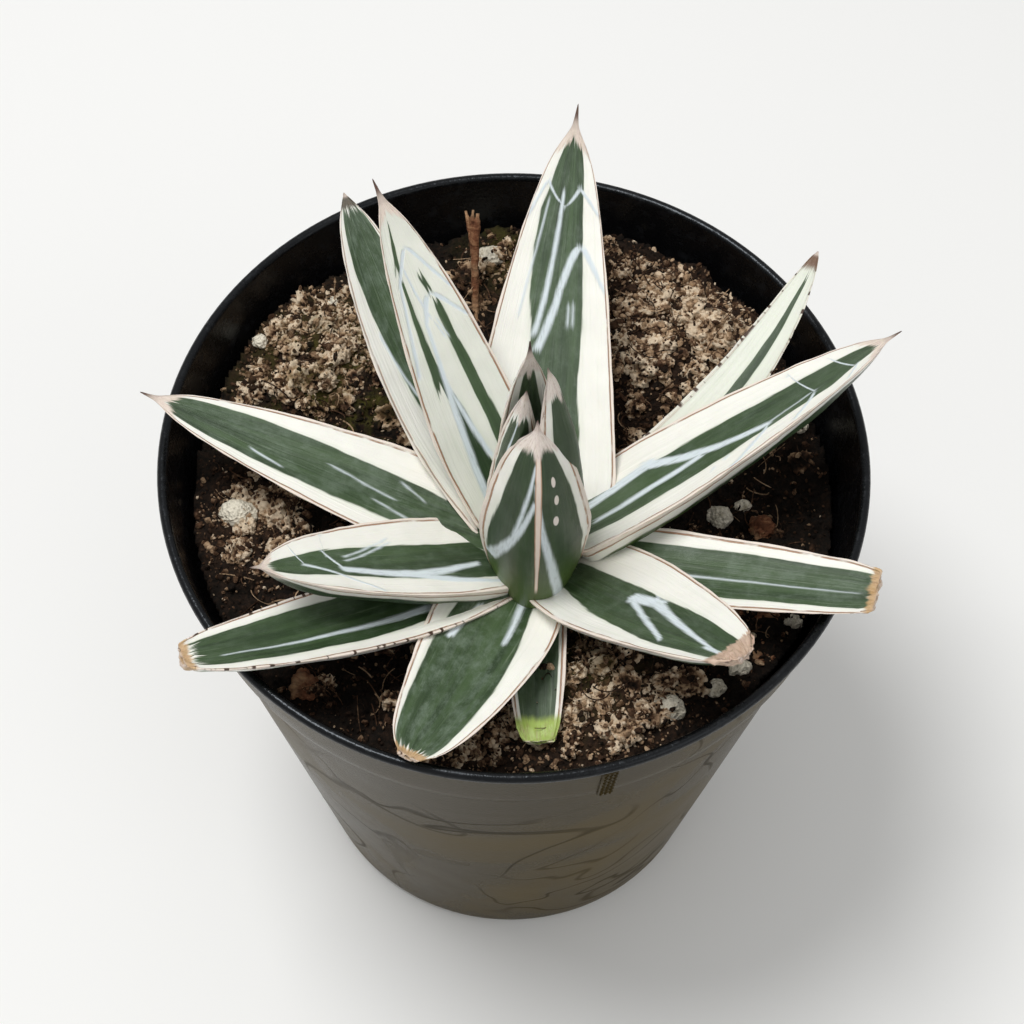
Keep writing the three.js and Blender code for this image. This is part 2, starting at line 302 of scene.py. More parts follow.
class Value:
    """A shader socket that takes part in sums: each sum adds its Math node."""

    def __init__(self, finish, socket):
        self.finish = finish
        self.socket = socket

    def math(self, operation, *operands, clamp=False):
        settings = {"operation": operation, "use_clamp": clamp}
        return self.finish.add("ShaderNodeMath", settings, dict(enumerate(operands)))

    def __add__(self, other):
        return self.math("ADD", self, other)

    def __radd__(self, other):
        return self.math("ADD", other, self)

    def __sub__(self, other):
        return self.math("SUBTRACT", self, other)

    def __rsub__(self, other):
        return self.math("SUBTRACT", other, self)

    def __mul__(self, other):
        return self.math("MULTIPLY", self, other)

    def __rmul__(self, other):
        return self.math("MULTIPLY", other, self)

    def __truediv__(self, other):
        return self.math("DIVIDE", self, other)

    def __pow__(self, other):
        return self.math("POWER", self, other)

    def __abs__(self):
        return self.math("ABSOLUTE", self)

    def clamped(self):
        return self.math("ADD", self, 0.0, clamp=True)

    def highest(self, other):
        return self.math("MAXIMUM", self, other)

    def step(self, low, high):
        """0 under low and 1 over high, smoothly between them. With low over high it falls instead."""
        settings = {"interpolation_type": "SMOOTHSTEP"}
        return self.finish.add("ShaderNodeMapRange", settings, {"Value": self, "From Min": low, "From Max": high})

    def between(self, start, end, first=0.0, last=1.0):
        """From first, at start, to last, at end, and no further."""
        sockets = {"Value": self, "From Min": start, "From Max": end, "To Min": first, "To Max": last}
        return self.finish.add("ShaderNodeMapRange", None, sockets)

    def scaled(self, factor, offset):
        return self.math("MULTIPLY_ADD", self, factor, offset)


class Finish:
    """The nodes of one material."""

    def __init__(self, name, **constants):
        self.material = bpy.data.materials.new(name)
        self.material.use_nodes = True
        self.tree = self.material.node_tree
        self.shader = self.tree.nodes["Principled BSDF"]
        for socket, value in constants.items():
            self.shader.inputs[socket.replace("_", " ")].default_value = value

    def add(self, kind, settings=None, sockets=None, output=0):
        """Adds a node: first its settings, then the values or links of its sockets. Gives one output."""
        node = self.tree.nodes.new(kind)
        for key, value in (settings or {}).items():
            if key == "stops":
                ramp = node.color_ramp
                while len(ramp.elements) < len(value):
                    ramp.elements.new(0.5)
                for element, (position, shade) in zip(ramp.elements, value):
                    element.position = position
                    element.color = shade
            else:
                setattr(node, key, value)
        for key, value in (sockets or {}).items():
            if isinstance(value, Value):
                self.tree.links.new(value.socket, node.inputs[key])
            else:
                node.inputs[key].default_value = value
        return Value(self, node.outputs[output])

    def feed(self, socket, value):
        self.tree.links.new(value.socket, self.shader.inputs[socket])

    def mix(self, factor, first, second):
        """A colour from first, at factor 0, to second, at factor 1."""
        return self.add("ShaderNodeMix", {"data_type": "RGBA"}, {0: factor, 6: first, 7: second}, output=2)

    def ramp(self, value, *stops):
        return self.add("ShaderNodeValToRGB", {"stops": stops}, {"Fac": value})

    def place(self):
        """Object coordinates, in metres."""
        return self.add("ShaderNodeTexCoord", output="Object")

    def stretched(self, *scale):
        return self.add("ShaderNodeMapping", None, {"Vector": self.place(), "Scale": scale})

    def attribute(self, name):
        return self.add("ShaderNodeAttribute", {"attribute_name": name}, output="Fac")

    def split(self, vector):
        node = self.add("ShaderNodeSeparateXYZ", sockets={0: vector}).socket.node
        return [Value(self, output) for output in node.outputs]

    def joined(self, x, y, z):
        return self.add("ShaderNodeCombineXYZ", sockets={0: x, 1: y, 2: z})

    def noise(self, vector, scale, detail=3.0, roughness=0.55, distortion=0.0):
        sockets = {
            "Vector": vector, "Scale": scale, "Detail": detail, "Roughness": roughness, "Distortion": distortion,
        }
        return self.add("ShaderNodeTexNoise", sockets=sockets)

    def cells(self, vector, scale):
        return self.add("ShaderNodeTexVoronoi", sockets={"Vector": vector, "Scale": scale}, output="Distance")

    def relief(self, height, distance):
        self.feed("Normal", self.add("ShaderNodeBump", sockets={"Height": height, "Distance": distance}))


# ---- The pot ----

POT_SIDES = 160
BAND_TAPER = 2.4 * MM  # the collar's foot stands this far inside the rim
BAND_STEP = 1 * MM  # and the wall this far inside the collar
FLOOR_LIFT = 2 * MM  # the drainage ring stands this far off the ground
DRAIN_RING = (17 * MM, 19 * MM, 30 * MM, 32 * MM)  # where its slopes begin and end
FOOT_CORNER = 2.5 * MM
DRAIN_HOLES = 6
DRAIN_HOLE_RADIUS = 3.2 * MM
DRAIN_HOLE_RING = 25 * MM
PAD_AZIMUTH = -74.5
PAD_WIDTH = 2.4 * MM
PAD_DEPTH = 0.9 * MM
STUD_RADIUS = 0.24 * MM


def pot_wall_finish(pot):
    """Dark, olive-brown plastic with painted reflections on it: paler clouds and wavy, darker lines."""
    f = Finish("glossy pot plastic", Specular_IOR_Level=0.03, Specular_Tint=(1, 0.86, 0.6, 1))
    x, y, z = f.split(f.place())
    around = f.joined(x * 0.6, y, z * 0.75)
    # Painted reflections: the paler clouds and the wavy dark lines are reflected surroundings painted into the wall's
    # colour.
    drift = f.noise(around, 24, 2.0, 0.5, 1.4)
    reflection_veins = abs(drift - 0.5).step(0.012, 0.001)
    second = abs(f.noise(around, 15, 2.0, 0.45, 2.2) - 0.47).step(0.012, 0.001)
    reflection_clouds = f.noise(around, 34, 3.0, 0.6, 0.8).step(0.35, 0.75)
    lines = (reflection_veins * 0.8).highest(second * 0.6) * f.noise(f.place(), 30, 1.0).step(0.38, 0.62)
    body = f.mix(reflection_clouds * 0.6, pot.plastic, pot.painted_reflection_tint)
    f.feed("Base Color", f.mix(lines * 0.6, body, paint(14, 11, 7)))
    grain = f.noise(f.place(), 2600, 2.0)
    f.feed("Roughness", 0.2 + reflection_clouds * 0.12 + lines * 0.2 + grain * 0.06)
    f.relief(grain * 0.3 + drift * 3.0 + lines * -0.5, 0.00012)
    return f.material


def pot_rim_finish(pot):
    """Cooler, slightly scuffed plastic of the lip and the inside."""
    f = Finish("pot rim plastic", Specular_IOR_Level=0.3, Specular_Tint=(0.86, 0.93, 1.0, 1))
    place = f.place()
    scuffs = f.noise(place, 420, 4.0, 0.7).step(0.5, 0.78)
    dust = f.noise(place, 90, 5.0, 0.7).step(0.52, 0.8)
    body = f.mix(dust * 0.12, pot.rim, paint(48, 44, 40))
    f.feed("Base Color", f.mix(scuffs * 0.12, body, paint(60, 62, 66)))
    f.feed("Roughness", 0.26 + dust * 0.3 + scuffs * 0.2)
    f.relief(f.noise(place, 1500, 2.0) + scuffs * 0.6, 0.00006)
    return f.material


def line(start, end, steps):
    """Points on the way from start, which is left out, to end."""
    shares = [i / steps for i in range(1, steps + 1)]
    return [(start[0] + (end[0] - start[0]) * share, start[1] + (end[1] - start[1]) * share) for share in shares]


def arc(centre, radius, start, end, steps):
    """Points on an arc from one angle to another, in degrees."""
    angles = [math.radians(start + (end - start) * i / steps) for i in range(steps + 1)]
    return [(centre[0] + radius * math.cos(a), centre[1] + radius * math.sin(a)) for a in angles]


def pot_profile(pot):
    """The pot's section from the middle of the underside, up the outside and down the inside."""
    top, lip, foot = pot.height, pot.lip_radius, pot.foot_radius
    band_bottom = top - pot.band_height
    band_radius = pot.rim_radius - BAND_TAPER
    wall_top = (band_radius - BAND_STEP, band_bottom - 0.6 * MM)
    inner_top = (wall_top[0] - pot.wall, wall_top[1])
    return [
        *zip(DRAIN_RING, (0, FLOOR_LIFT, FLOOR_LIFT, 0)),
        *arc((foot - FOOT_CORNER, FOOT_CORNER), FOOT_CORNER, -90, 0, 5),
        *line((foot, FOOT_CORNER), wall_top, 12),
        (band_radius - 0.35 * MM, band_bottom - 0.1 * MM),
        (band_radius, band_bottom + 0.5 * MM),
        *line((band_radius, band_bottom), (pot.rim_radius - 0.75 * lip, top - 2 * lip), 5),
        *arc((pot.rim_radius - lip, top - lip), lip, -35, 180, 8),
        (band_radius - pot.wall, band_bottom + 0.4 * MM),
        inner_top,
        *line(inner_top, (foot - pot.wall, FLOOR_LIFT + 1.5 * MM), 8),
        (foot - 2 * MM, FLOOR_LIFT + pot.wall),
        (12 * MM, FLOOR_LIFT + pot.wall),
    ]


def drill(body):
    """Cuts the drainage holes out of the floor."""
    drills = []
    for i in range(DRAIN_HOLES):
        angle = 2 * math.pi * i / DRAIN_HOLES
        clear()
        place = (DRAIN_HOLE_RING * math.cos(angle), DRAIN_HOLE_RING * math.sin(angle), 0)
        bpy.ops.mesh.primitive_cylinder_add(vertices=32, radius=DRAIN_HOLE_RADIUS, depth=12 * MM, location=place)
        drills.append(named("drill"))
    cutter = join("drill", drills)
    modify(body, "BOOLEAN", operation="DIFFERENCE", object=cutter, solver="EXACT")
    bpy.data.objects.remove(cutter)


def mould_pad(pot):
    """The small raised pad across the collar, with rows of fine studs."""
    clear()
    height = pot.band_height - 2 * MM
    bpy.ops.mesh.primitive_cube_add(size=1, scale=(PAD_DEPTH, PAD_WIDTH, height))
    pad = named("pad")
    modify(pad, "BEVEL", width=0.25 * MM, segments=2)
    studs = [pad]
    for row in range(14):
        for column in range(3):
            clear()
            place = (PAD_DEPTH / 2, (column - 1 + 0.25 * (row % 2)) * 0.7 * MM, (row - 6.5) * 0.78 * MM)
            bpy.ops.mesh.primitive_ico_sphere_add(subdivisions=1, radius=STUD_RADIUS, location=place)
            studs.append(named("stud"))
    pad = join("pad", studs)
    slope = math.atan(2 * MM / pot.band_height)
    edit(pad, action="SELECT")
    turn(slope, "Y")
    middle = pot.rim_radius - 1.6 * MM
    z = pot.height - pot.band_height / 2 - 0.9 * MM
    bpy.ops.transform.translate(value=(middle, 0, z))
    turn(math.radians(PAD_AZIMUTH), "Z")
    clear()
    return pad


class AGAVE_OT_pot(bpy.types.Operator):
    """Builds the nursery pot"""

    bl_idname = "agave.pot"
    bl_label = "Pot"

    def execute(self, context):
        pot = context.scene.agave_pot
        body = lathe("pot_body", POT_SIDES, pot_profile(pot))
        drill(body)
        wall, rim = pot_wall_finish(pot), pot_rim_finish(pot)
        body.data.materials.append(wall)
        body.data.materials.append(rim)
        lip_bottom = pot.height - 2.2 * pot.lip_radius
        for face in body.data.polygons:
            out = Vector((face.center.x, face.center.y, 0)).normalized().dot(face.normal)
            inside = face.center.z > 3 * MM and (out < -0.1 or face.normal.z > 0.5)
            face.material_index = 1 if inside or face.center.z > lip_bottom else 0
        pad = mould_pad(pot)
        pad.data.materials.append(wall)
        piece = join("nursery_pot", [body, pad])
        smooth_faces(piece, 38)
        hand_in(piece, "pot", [], "pot")
        return {"FINISHED"}


# ---- The leaves ----
# Angles in degrees and lengths in millimetres. azimuth: where the leaf points, from +X. rise: its angle above the
# ground at its base. curl: how much steeper it is at the tip. sweep: how far it has turned sideways by the tip.
# roll: its turn about its midrib. length: without the end spine. lift: its base over the crown. reach: its base from
# the stem's axis. cup: how far the margins stand over the midrib. belly: where it is widest. base and tip: the width
# at the ends, as a share of the widest. point: 1 tapers straight to the tip, more is rounder. keel: how round the
# underside is, at the base and at the tip.
PLAIN_LEAF = {
    "curl": 0, "sweep": 0, "roll": 0, "thickness": 5, "lift": 0, "reach": 5.5, "cup": 1.2, "belly": 0.3,
    "base": 0.8, "tip": 0, "point": 1.25, "spine": 0, "keel": (2.4, 1.3),
}
LEAVES = {
    "heart_back": {
        "azimuth": 112, "rise": 90, "length": 44, "width": 11, "thickness": 7, "reach": 3, "lift": 2, "cup": 0,
        "spine": 4,
    },
    "heart_right": {
        "azimuth": -20, "rise": 86, "curl": 16, "roll": -10, "length": 46, "width": 11, "thickness": 2.4, "lift": 1,
        "reach": 5, "cup": 3, "spine": 2,
    },
    "heart_left": {
        "azimuth": 215, "rise": 90, "curl": 8, "roll": 36, "length": 41, "width": 8.5, "thickness": 2.4, "lift": 1,
        "reach": 5, "cup": 3, "spine": 2,
    },
    "heart_front": {
        "azimuth": -88, "rise": 82, "curl": 30, "length": 38, "width": 16.5, "thickness": 3.5, "reach": 8,
        "cup": 5.5, "belly": 0.4, "spine": 2, "point": 1.3,
    },
    "leaf_back_left": {
        "azimuth": 121, "rise": 42, "curl": 6, "sweep": 2, "length": 52, "width": 15, "thickness": 6, "spine": 4,
    },
    "leaf_front_left": {
        "azimuth": 201, "rise": 26, "curl": 4, "roll": 15, "length": 40, "width": 17.5, "thickness": 7.5,
        "base": 0.9, "spine": 2, "point": 1.65,
    },
    "leaf_right": {
        "azimuth": 24, "rise": 21, "curl": 4, "roll": -24, "length": 55, "width": 18, "thickness": 8, "lift": 1,
        "base": 0.9, "spine": 3,
    },
    "leaf_back": {
        "azimuth": 86, "rise": 27, "curl": 5, "sweep": -3, "length": 59, "width": 24, "belly": 0.1, "base": 0.9,
        "point": 1.05, "spine": 4,
    },
    "leaf_front_right": {
        "azimuth": -44, "rise": 28, "curl": 4, "roll": -10, "length": 40, "width": 20, "thickness": 7, "tip": 0.15,
    },
    "leaf_left": {"azimuth": 163, "rise": 12, "curl": 2, "length": 55, "width": 16, "spine": 3},
    "leaf_far_left": {
        "azimuth": 129, "rise": 23, "curl": 4, "sweep": -15, "length": 56, "width": 14, "lift": -1, "spine": 1,
        "point": 1.65,
    },
    "leaf_far_right": {
        "azimuth": 28, "rise": 20, "curl": 4, "sweep": 33, "length": 59, "width": 11, "lift": -3, "spine": 1,
    },
    "leaf_low_front": {
        "azimuth": -110, "rise": 13, "curl": 2, "sweep": -8, "length": 38, "width": 19, "tip": 0.2,
    },
    "leaf_low_left": {
        "azimuth": 214, "rise": 16, "curl": 1, "sweep": -13, "roll": 12, "length": 52, "width": 16,
        "thickness": 6.5, "tip": 0.3, "lift": -2,
    },
    "leaf_low_right": {
        "azimuth": -15, "rise": 15, "length": 47, "width": 13, "tip": 0.55, "thickness": 4, "lift": -1,
    },
    "leaf_stub": {"azimuth": -88, "rise": -3, "length": 26, "width": 9.5, "tip": 0.5, "thickness": 3},
}


def stripe(tip, base, bow=1.0, fill=1.0):
    """A stripe from its end nearer the tip to its end nearer the base. Each end is (across, along, half its width).
    bow: under 1 it bends away at once, over 1 late. fill: the same for its width."""
    return tip, base, bow, fill


# Where the leaves are green and where older leaves pressed pale lines into them. across runs from -1 at the left
# margin to 1 at the right one, seen from the base, and along from 0 at the base to 1 at the tip.
# under: the same lines on the outer face of a standing leaf, where across is mirrored. haze: how much pale bloom lies
# on the green. shade: how much green is in the cream. cork: where the healed tip starts. edge: how strong the brown
# line is. dashes: dark cork along the margin. ridge: a pale, brown-edged keel. dots: pale spots on the outer face.
PLAIN_LOOK = {
    "green": [], "prints": [], "under": [], "haze": 0.35, "shade": 0.0, "cork": 1.0, "edge": 1.0, "tip": "pale",
    "dashes": False, "ridge": False, "dots": [],
}
LOOKS = {
    "leaf_back": {
        "green": [
            stripe((0.06, 0.985, 0.62), (-0.08, 0.78, 0.56), 1.0, 0.6),
            stripe((-0.08, 0.8, 0.58), (0.1, 0.4, 0.4)),
            stripe((0.1, 0.42, 0.4), (0.1, 0.0, 0.4)),
        ],
        "prints": [
            stripe((-0.02, 0.8, 0.035), (-0.7, 0.865, 0.05), 0.8),
            stripe((-0.68, 0.865, 0.05), (-0.96, 0.76, 0.04), 0.7),
            stripe((0.0, 0.8, 0.035), (0.42, 0.85, 0.07), 0.8),
            stripe((0.4, 0.85, 0.07), (0.96, 0.78, 0.04), 0.8),
            stripe((-0.1, 0.84, 0.05), (-0.3, 0.46, 0.05), 2.2),
            stripe((0.45, 0.7, 0.09), (0.06, 0.58, 0.06), 0.6),
            stripe((0.07, 0.59, 0.06), (-0.22, 0.42, 0.07), 1.2),
            stripe((0.48, 0.7, 0.08), (0.96, 0.58, 0.03), 0.8),
            stripe((0.26, 0.55, 0.018), (0.26, 0.49, 0.018)),
            stripe((0.34, 0.55, 0.018), (0.34, 0.49, 0.018)),
            stripe((-0.5, 0.82, 0.02), (-0.62, 0.5, 0.02), 1.3),
        ],
        "haze": 0.5,
    },
    "leaf_back_left": {
        "green": [
            stripe((-0.25, 0.94, 0.04), (-0.5, 0.8, 0.13)),
            stripe((-0.45, 0.79, 0.06), (-0.42, 0.44, 0.12)),
            stripe((0.2, 0.77, 0.08), (0.28, 0.71, 0.08)),
            stripe((0.33, 0.68, 0.09), (0.42, 0.2, 0.15)),
            stripe((-0.2, 0.43, 0.02), (-0.12, 0.05, 0.26), 1.0, 0.7),
        ],
        "prints": [
            stripe((0.12, 0.86, 0.1), (-0.6, 0.76, 0.05), 0.7),
            stripe((0.15, 0.86, 0.08), (0.95, 0.69, 0.03), 0.7),
            stripe((-0.5, 0.79, 0.04), (-0.82, 0.5, 0.05), 0.8),
            stripe((-0.25, 0.8, 0.04), (0.0, 0.64, 0.03)),
            stripe((0.3, 0.71, 0.09), (0.96, 0.6, 0.03), 0.8),
            stripe((0.2, 0.71, 0.1), (-0.2, 0.62, 0.04), 0.6),
            stripe((-0.18, 0.64, 0.04), (-0.42, 0.05, 0.09), 1.0),
            stripe((-0.26, 0.48, 0.04), (0.06, 0.2, 0.06), 1.2),
            stripe((0.06, 0.63, 0.02), (0.17, 0.57, 0.02)),
            stripe((0.13, 0.64, 0.02), (0.24, 0.58, 0.02)),
        ],
        "haze": 0.1, "shade": 0.22,
    },
    "leaf_far_left": {
        "green": [
            stripe((0.05, 0.97, 0.8), (0.3, 0.1, 0.5), 1.0, 0.8),
        ],
        "prints": [stripe((-0.55, 0.62, 0.03), (0.1, 0.2, 0.03), 1.2)],
        "haze": 0.8, "edge": 0.7, "tip": "dark",
    },
    "leaf_left": {
        "green": [
            stripe((0.05, 0.97, 0.8), (-0.1, 0.15, 0.42), 1.0, 0.6),
            stripe((0.1, 0.22, 0.1), (0.4, 0.02, 0.3)),
            stripe((-0.1, 0.17, 0.42), (-0.1, 0.0, 0.42)),
        ],
        "prints": [
            stripe((0.1, 0.5, 0.012), (-0.1, 0.3, 0.012)),
            stripe((-0.3, 0.72, 0.03), (-0.45, 0.62, 0.02), 0.6),
            stripe((-0.25, 0.36, 0.01), (-0.4, 0.24, 0.01)),
            stripe((0.3, 0.3, 0.012), (0.1, 0.22, 0.012)),
        ],
        "haze": 0.6,
    },
    "leaf_front_left": {
        "green": [
            stripe((0.0, 0.97, 0.4), (0.05, 0.7, 0.44)),
            stripe((0.05, 0.72, 0.4), (-0.1, 0.03, 0.5)),
        ],
        "prints": [
            stripe((0.92, 0.86, 0.05), (0.0, 0.82, 0.05), 0.8),
            stripe((0.05, 0.83, 0.05), (-0.85, 0.58, 0.04), 1.2),
            stripe((0.92, 0.71, 0.05), (0.3, 0.72, 0.05)),
            stripe((0.5, 0.73, 0.06), (-0.15, 0.67, 0.06), 0.8),
            stripe((-0.12, 0.69, 0.08), (-0.36, 0.38, 0.1), 0.8),
            stripe((-0.36, 0.4, 0.1), (-0.15, 0.1, 0.05), 1.1),
            stripe((-0.36, 0.4, 0.09), (-0.78, 0.04, 0.05), 1.0),
            stripe((0.12, 0.65, 0.018), (0.5, 0.43, 0.02), 1.2),
            stripe((0.24, 0.65, 0.018), (0.6, 0.43, 0.02), 1.2),
        ],
        "haze": 0.45,
    },
    "leaf_right": {
        "green": [
            stripe((-0.1, 0.98, 0.42), (0.05, 0.8, 0.48)),
            stripe((0.05, 0.82, 0.46), (0.05, 0.02, 0.45)),
        ],
        "prints": [
            stripe((-0.7, 0.85, 0.06), (0.4, 0.9, 0.06)),
            stripe((0.4, 0.91, 0.06), (0.78, 0.87, 0.05), 0.8),
            stripe((-0.75, 0.735, 0.05), (0.3, 0.775, 0.06), 0.8),
            stripe((0.28, 0.775, 0.06), (0.85, 0.69, 0.05), 0.8),
            stripe((0.25, 0.76, 0.018), (0.35, 0.62, 0.018)),
            stripe((0.36, 0.63, 0.06), (-0.4, 0.27, 0.1), 1.3),
            stripe((-0.4, 0.3, 0.09), (-0.22, 0.05, 0.08), 1.0),
            stripe((0.08, 0.43, 0.06), (0.22, 0.08, 0.05), 1.0),
            stripe((0.4, 0.62, 0.05), (0.93, 0.48, 0.04), 0.7),
            stripe((0.54, 0.49, 0.03), (0.58, 0.475, 0.035)),
            stripe((0.63, 0.44, 0.03), (0.67, 0.43, 0.035)),
        ],
        "haze": 0.35,
    },
    "leaf_far_right": {
        "green": [
            stripe((0.1, 0.95, 0.12), (0.05, 0.1, 0.25), 1.0, 0.7),
            stripe((0.35, 0.6, 0.02), (0.3, 0.2, 0.08)),
        ],
        "haze": 0.2, "edge": 0.35, "tip": "brown", "dashes": True, "shade": 0.35,
    },
    "leaf_low_front": {
        "green": [stripe((0.06, 0.98, 0.86), (0.1, 0.0, 0.52), 1.0, 0.8)],
        "prints": [
            stripe((-0.3, 0.36, 0.03), (-0.25, 0.05, 0.07)),
            stripe((0.55, 0.42, 0.05), (0.35, 0.2, 0.03)),
        ],
        "haze": 1.0, "cork": 0.965, "tip": "cork",
    },
    "leaf_low_left": {
        "green": [stripe((0.0, 0.97, 0.7), (0.08, 0.0, 0.62), 1.0, 0.5)],
        "prints": [stripe((-0.2, 0.9, 0.02), (-0.3, 0.1, 0.14), 1.0, 1.8)],
        "haze": 0.3, "cork": 0.975, "tip": "cork", "dashes": True,
    },
    "leaf_low_right": {
        "green": [stripe((0.0, 1.0, 0.75), (0.0, 0.0, 0.6), 1.0, 0.5)],
        "prints": [stripe((0.1, 0.95, 0.012), (0.1, 0.2, 0.03))],
        "haze": 0.6, "cork": 0.972, "tip": "cork",
    },
    "leaf_stub": {
        "green": [stripe((0.0, 0.93, 0.7), (0.0, 0.0, 0.75))],
        "haze": 0.3, "cork": 0.9, "tip": "lime",
    },
    "leaf_front_right": {
        "green": [
            stripe((0.15, 1.0, 0.62), (0.15, 0.6, 0.56)),
            stripe((0.15, 0.62, 0.56), (0.0, 0.03, 0.3), 1.0, 0.8),
        ],
        "prints": [
            stripe((0.36, 0.92, 0.08), (0.3, 0.84, 0.06)),
            stripe((0.33, 0.9, 0.04), (-0.27, 0.46, 0.1), 0.8),
            stripe((0.56, 0.68, 0.06), (-0.1, 0.38, 0.05), 0.8),
            stripe((-0.27, 0.52, 0.1), (-0.1, 0.38, 0.12)),
        ],
        "haze": 0.5, "cork": 0.905, "tip": "dry",
    },
    "heart_front": {
        "green": [stripe((0.0, 0.94, 0.66), (0.0, 0.0, 0.96), 1.0, 0.9)],
        "under": [
            stripe((0.03, 0.8, 0.05), (-0.5, 0.06, 0.09), 1.2),
            stripe((0.05, 0.72, 0.05), (0.85, 0.24, 0.08)),
            stripe((0.05, 0.88, 0.05), (0.44, 0.5, 0.035), 0.8),
        ],
        "haze": 0.3, "tip": "papery", "ridge": True,
        "dots": [(-0.42, 0.79), (-0.44, 0.7), (-0.38, 0.6)],
    },
    "heart_left": {
        "green": [stripe((0.0, 0.9, 0.7), (0.0, 0.0, 0.84), 1.0, 0.7)],
        "under": [stripe((0.1, 0.9, 0.06), (0.5, 0.6, 0.04))],
        "haze": 0.5, "tip": "papery",
    },
    "heart_right": {
        "green": [stripe((0.0, 0.93, 0.6), (0.0, 0.0, 0.76), 1.0, 0.7)],
        "haze": 0.25, "tip": "papery",
    },
    "heart_back": {
        "green": [stripe((0.0, 0.94, 0.4), (0.0, 0.0, 0.7), 1.0, 0.7)],
        "haze": 0.5, "tip": "papery",
    },
}
PALE_GREEN = paint(192, 205, 180)
YOUNG_GREEN = paint(92, 116, 48)
SPINE_BROWN = paint(112, 84, 74)
HEART_SPINE_BROWN = paint(82, 48, 40)
SPINE_PALE = paint(220, 204, 192)
SPINE_RADIUS = 0.6
SPINE_RINGS = ((0.3, 0.62), (0.35, 0.6), (0.35, 0.25))  # each rise is a share of the spine
BLUNT_RINGS = ((0.2, 0.93), (0.1, 0.7), (-0.3, 0.6))


def outline(leaf, t):
    """Half the leaf's width at t, as a share of its widest."""
    if t < leaf["belly"]:
        return leaf["base"] + (1 - leaf["base"]) * math.sin(math.pi / 2 * t / leaf["belly"])
    s = (t - leaf["belly"]) / (1 - leaf["belly"])
    return leaf["tip"] + (1 - leaf["tip"]) * (1 - s ** leaf["point"]) ** 0.55


def shape_section(blank, leaf, z, keel, margin):
    """Draws the round end at height z into a crescent: flat above, keeled below. It is one thickness deep."""
    cup = leaf["cup"] / leaf["thickness"]
    columns = {}
    for vertex in bmesh.from_edit_mesh(blank.data).verts:
        if abs(vertex.co.z - z) < 1e-6:
            columns[(round(abs(vertex.co.y), 4), vertex.co.x > 1e-5, round(vertex.co.x, 4))] = vertex.co.copy()
    for (across, is_under, depth), _ in sorted(columns.items()):
        bulge = max(1 - across**keel, margin / leaf["thickness"]) if is_under else 0
        target = bulge - cup * across * across
        pick(
            blank,
            lambda v: abs(v.co.z - z) < 1e-6 and abs(v.co.x - depth) < 1e-4 and abs(abs(v.co.y) - across) < 1e-4,
        )
        bpy.ops.transform.translate(value=(target - depth, 0, 0))


def leaf_blank(name, leaf, plant):
    """A straight leaf that stands on its base, with its upper face towards -X."""
    tall = leaf["length"] * MM
    stations = plant.station_count
    clear()
    bpy.ops.mesh.primitive_cylinder_add(
        vertices=plant.section_sides, radius=1, depth=tall, end_fill_type="NGON", location=(0, 0, tall / 2)
    )
    blank = named(name)
    edit(blank)
    shape_section(blank, leaf, 0, leaf["keel"][0], plant.margin / MM)
    shape_section(blank, leaf, tall, leaf["keel"][1], plant.margin / MM)
    cut_lengthwise_edges(blank, tall, stations - 1)
    clear()
    store_across(blank, leaf)
    edit(blank)
    for i in range(stations + 1):
        t = i / stations
        half_width = max(outline(leaf, t) * leaf["width"] / 2, SPINE_RADIUS)
        relative = half_width / leaf["width"] * 2
        deep = leaf["thickness"] * (1 - 0.4 * t) * min(1, relative * 1.5)
        pick(blank, lambda v: abs(v.co.z - tall * t) < tall * 0.01)
        resize(deep * MM, half_width * MM, 1, (0, 0, tall * t))
    if leaf["spine"]:
        draw_out(blank, tall, [(leaf["spine"] * share, taper) for share, taper in SPINE_RINGS])
    else:
        draw_out(blank, tall, BLUNT_RINGS)
    clear()
    heights = [v.co.z for v in blank.data.vertices]
    point_values(blank, "along", [z / tall if z <= tall else 1 + (z - tall) / (4 * MM) for z in heights])
    return blank


def store_across(blank, leaf):
    """Stores where each corner lies across the leaf, and whether it is on the underside."""
    cup = leaf["cup"] / leaf["thickness"]
    across = [-v.co.y for v in blank.data.vertices]
    under = [min(1, max(0, 4 * (v.co.x + cup * v.co.y**2))) for v in blank.data.vertices]
    point_values(blank, "across", across)
    point_values(blank, "under", under)


def draw_out(blank, tall, rings):
    """Draws the cut end out ring by ring. Each ring is its rise in millimetres and its size on the one before."""
    bpy.ops.mesh.select_mode(type="FACE")
    pick(blank, lambda f: f.normal.z > 0.9 and f.calc_center_median().z > tall * 0.99, "faces")
    for rise, taper in rings:
        extrude(z=rise * MM)
        selected = [v.co for v in bmesh.from_edit_mesh(blank.data).verts if v.select]
        resize(taper, taper, 1, sum(selected, Vector()) / len(selected))


def place_leaf(piece, leaf):
    """Rolls, bends and leans the straight leaf, and sets it on the crown."""
    piece.rotation_euler = (0, 0, math.radians(leaf["roll"]))
    settle(piece)
    whole = 1 + leaf["spine"] / leaf["length"]
    for axis, angle in (("Y", -leaf["curl"]), ("X", leaf["sweep"])):
        if angle:
            bend(piece, axis, angle * whole)
    azimuth = math.radians(leaf["azimuth"])
    out = Vector((math.cos(azimuth), math.sin(azimuth), 0)) * leaf["reach"] * MM
    piece.rotation_euler = (0, math.radians(90 - leaf["rise"]), azimuth)
    piece.location = CROWN + out + Vector((0, 0, leaf["lift"] * MM))
    settle(piece)


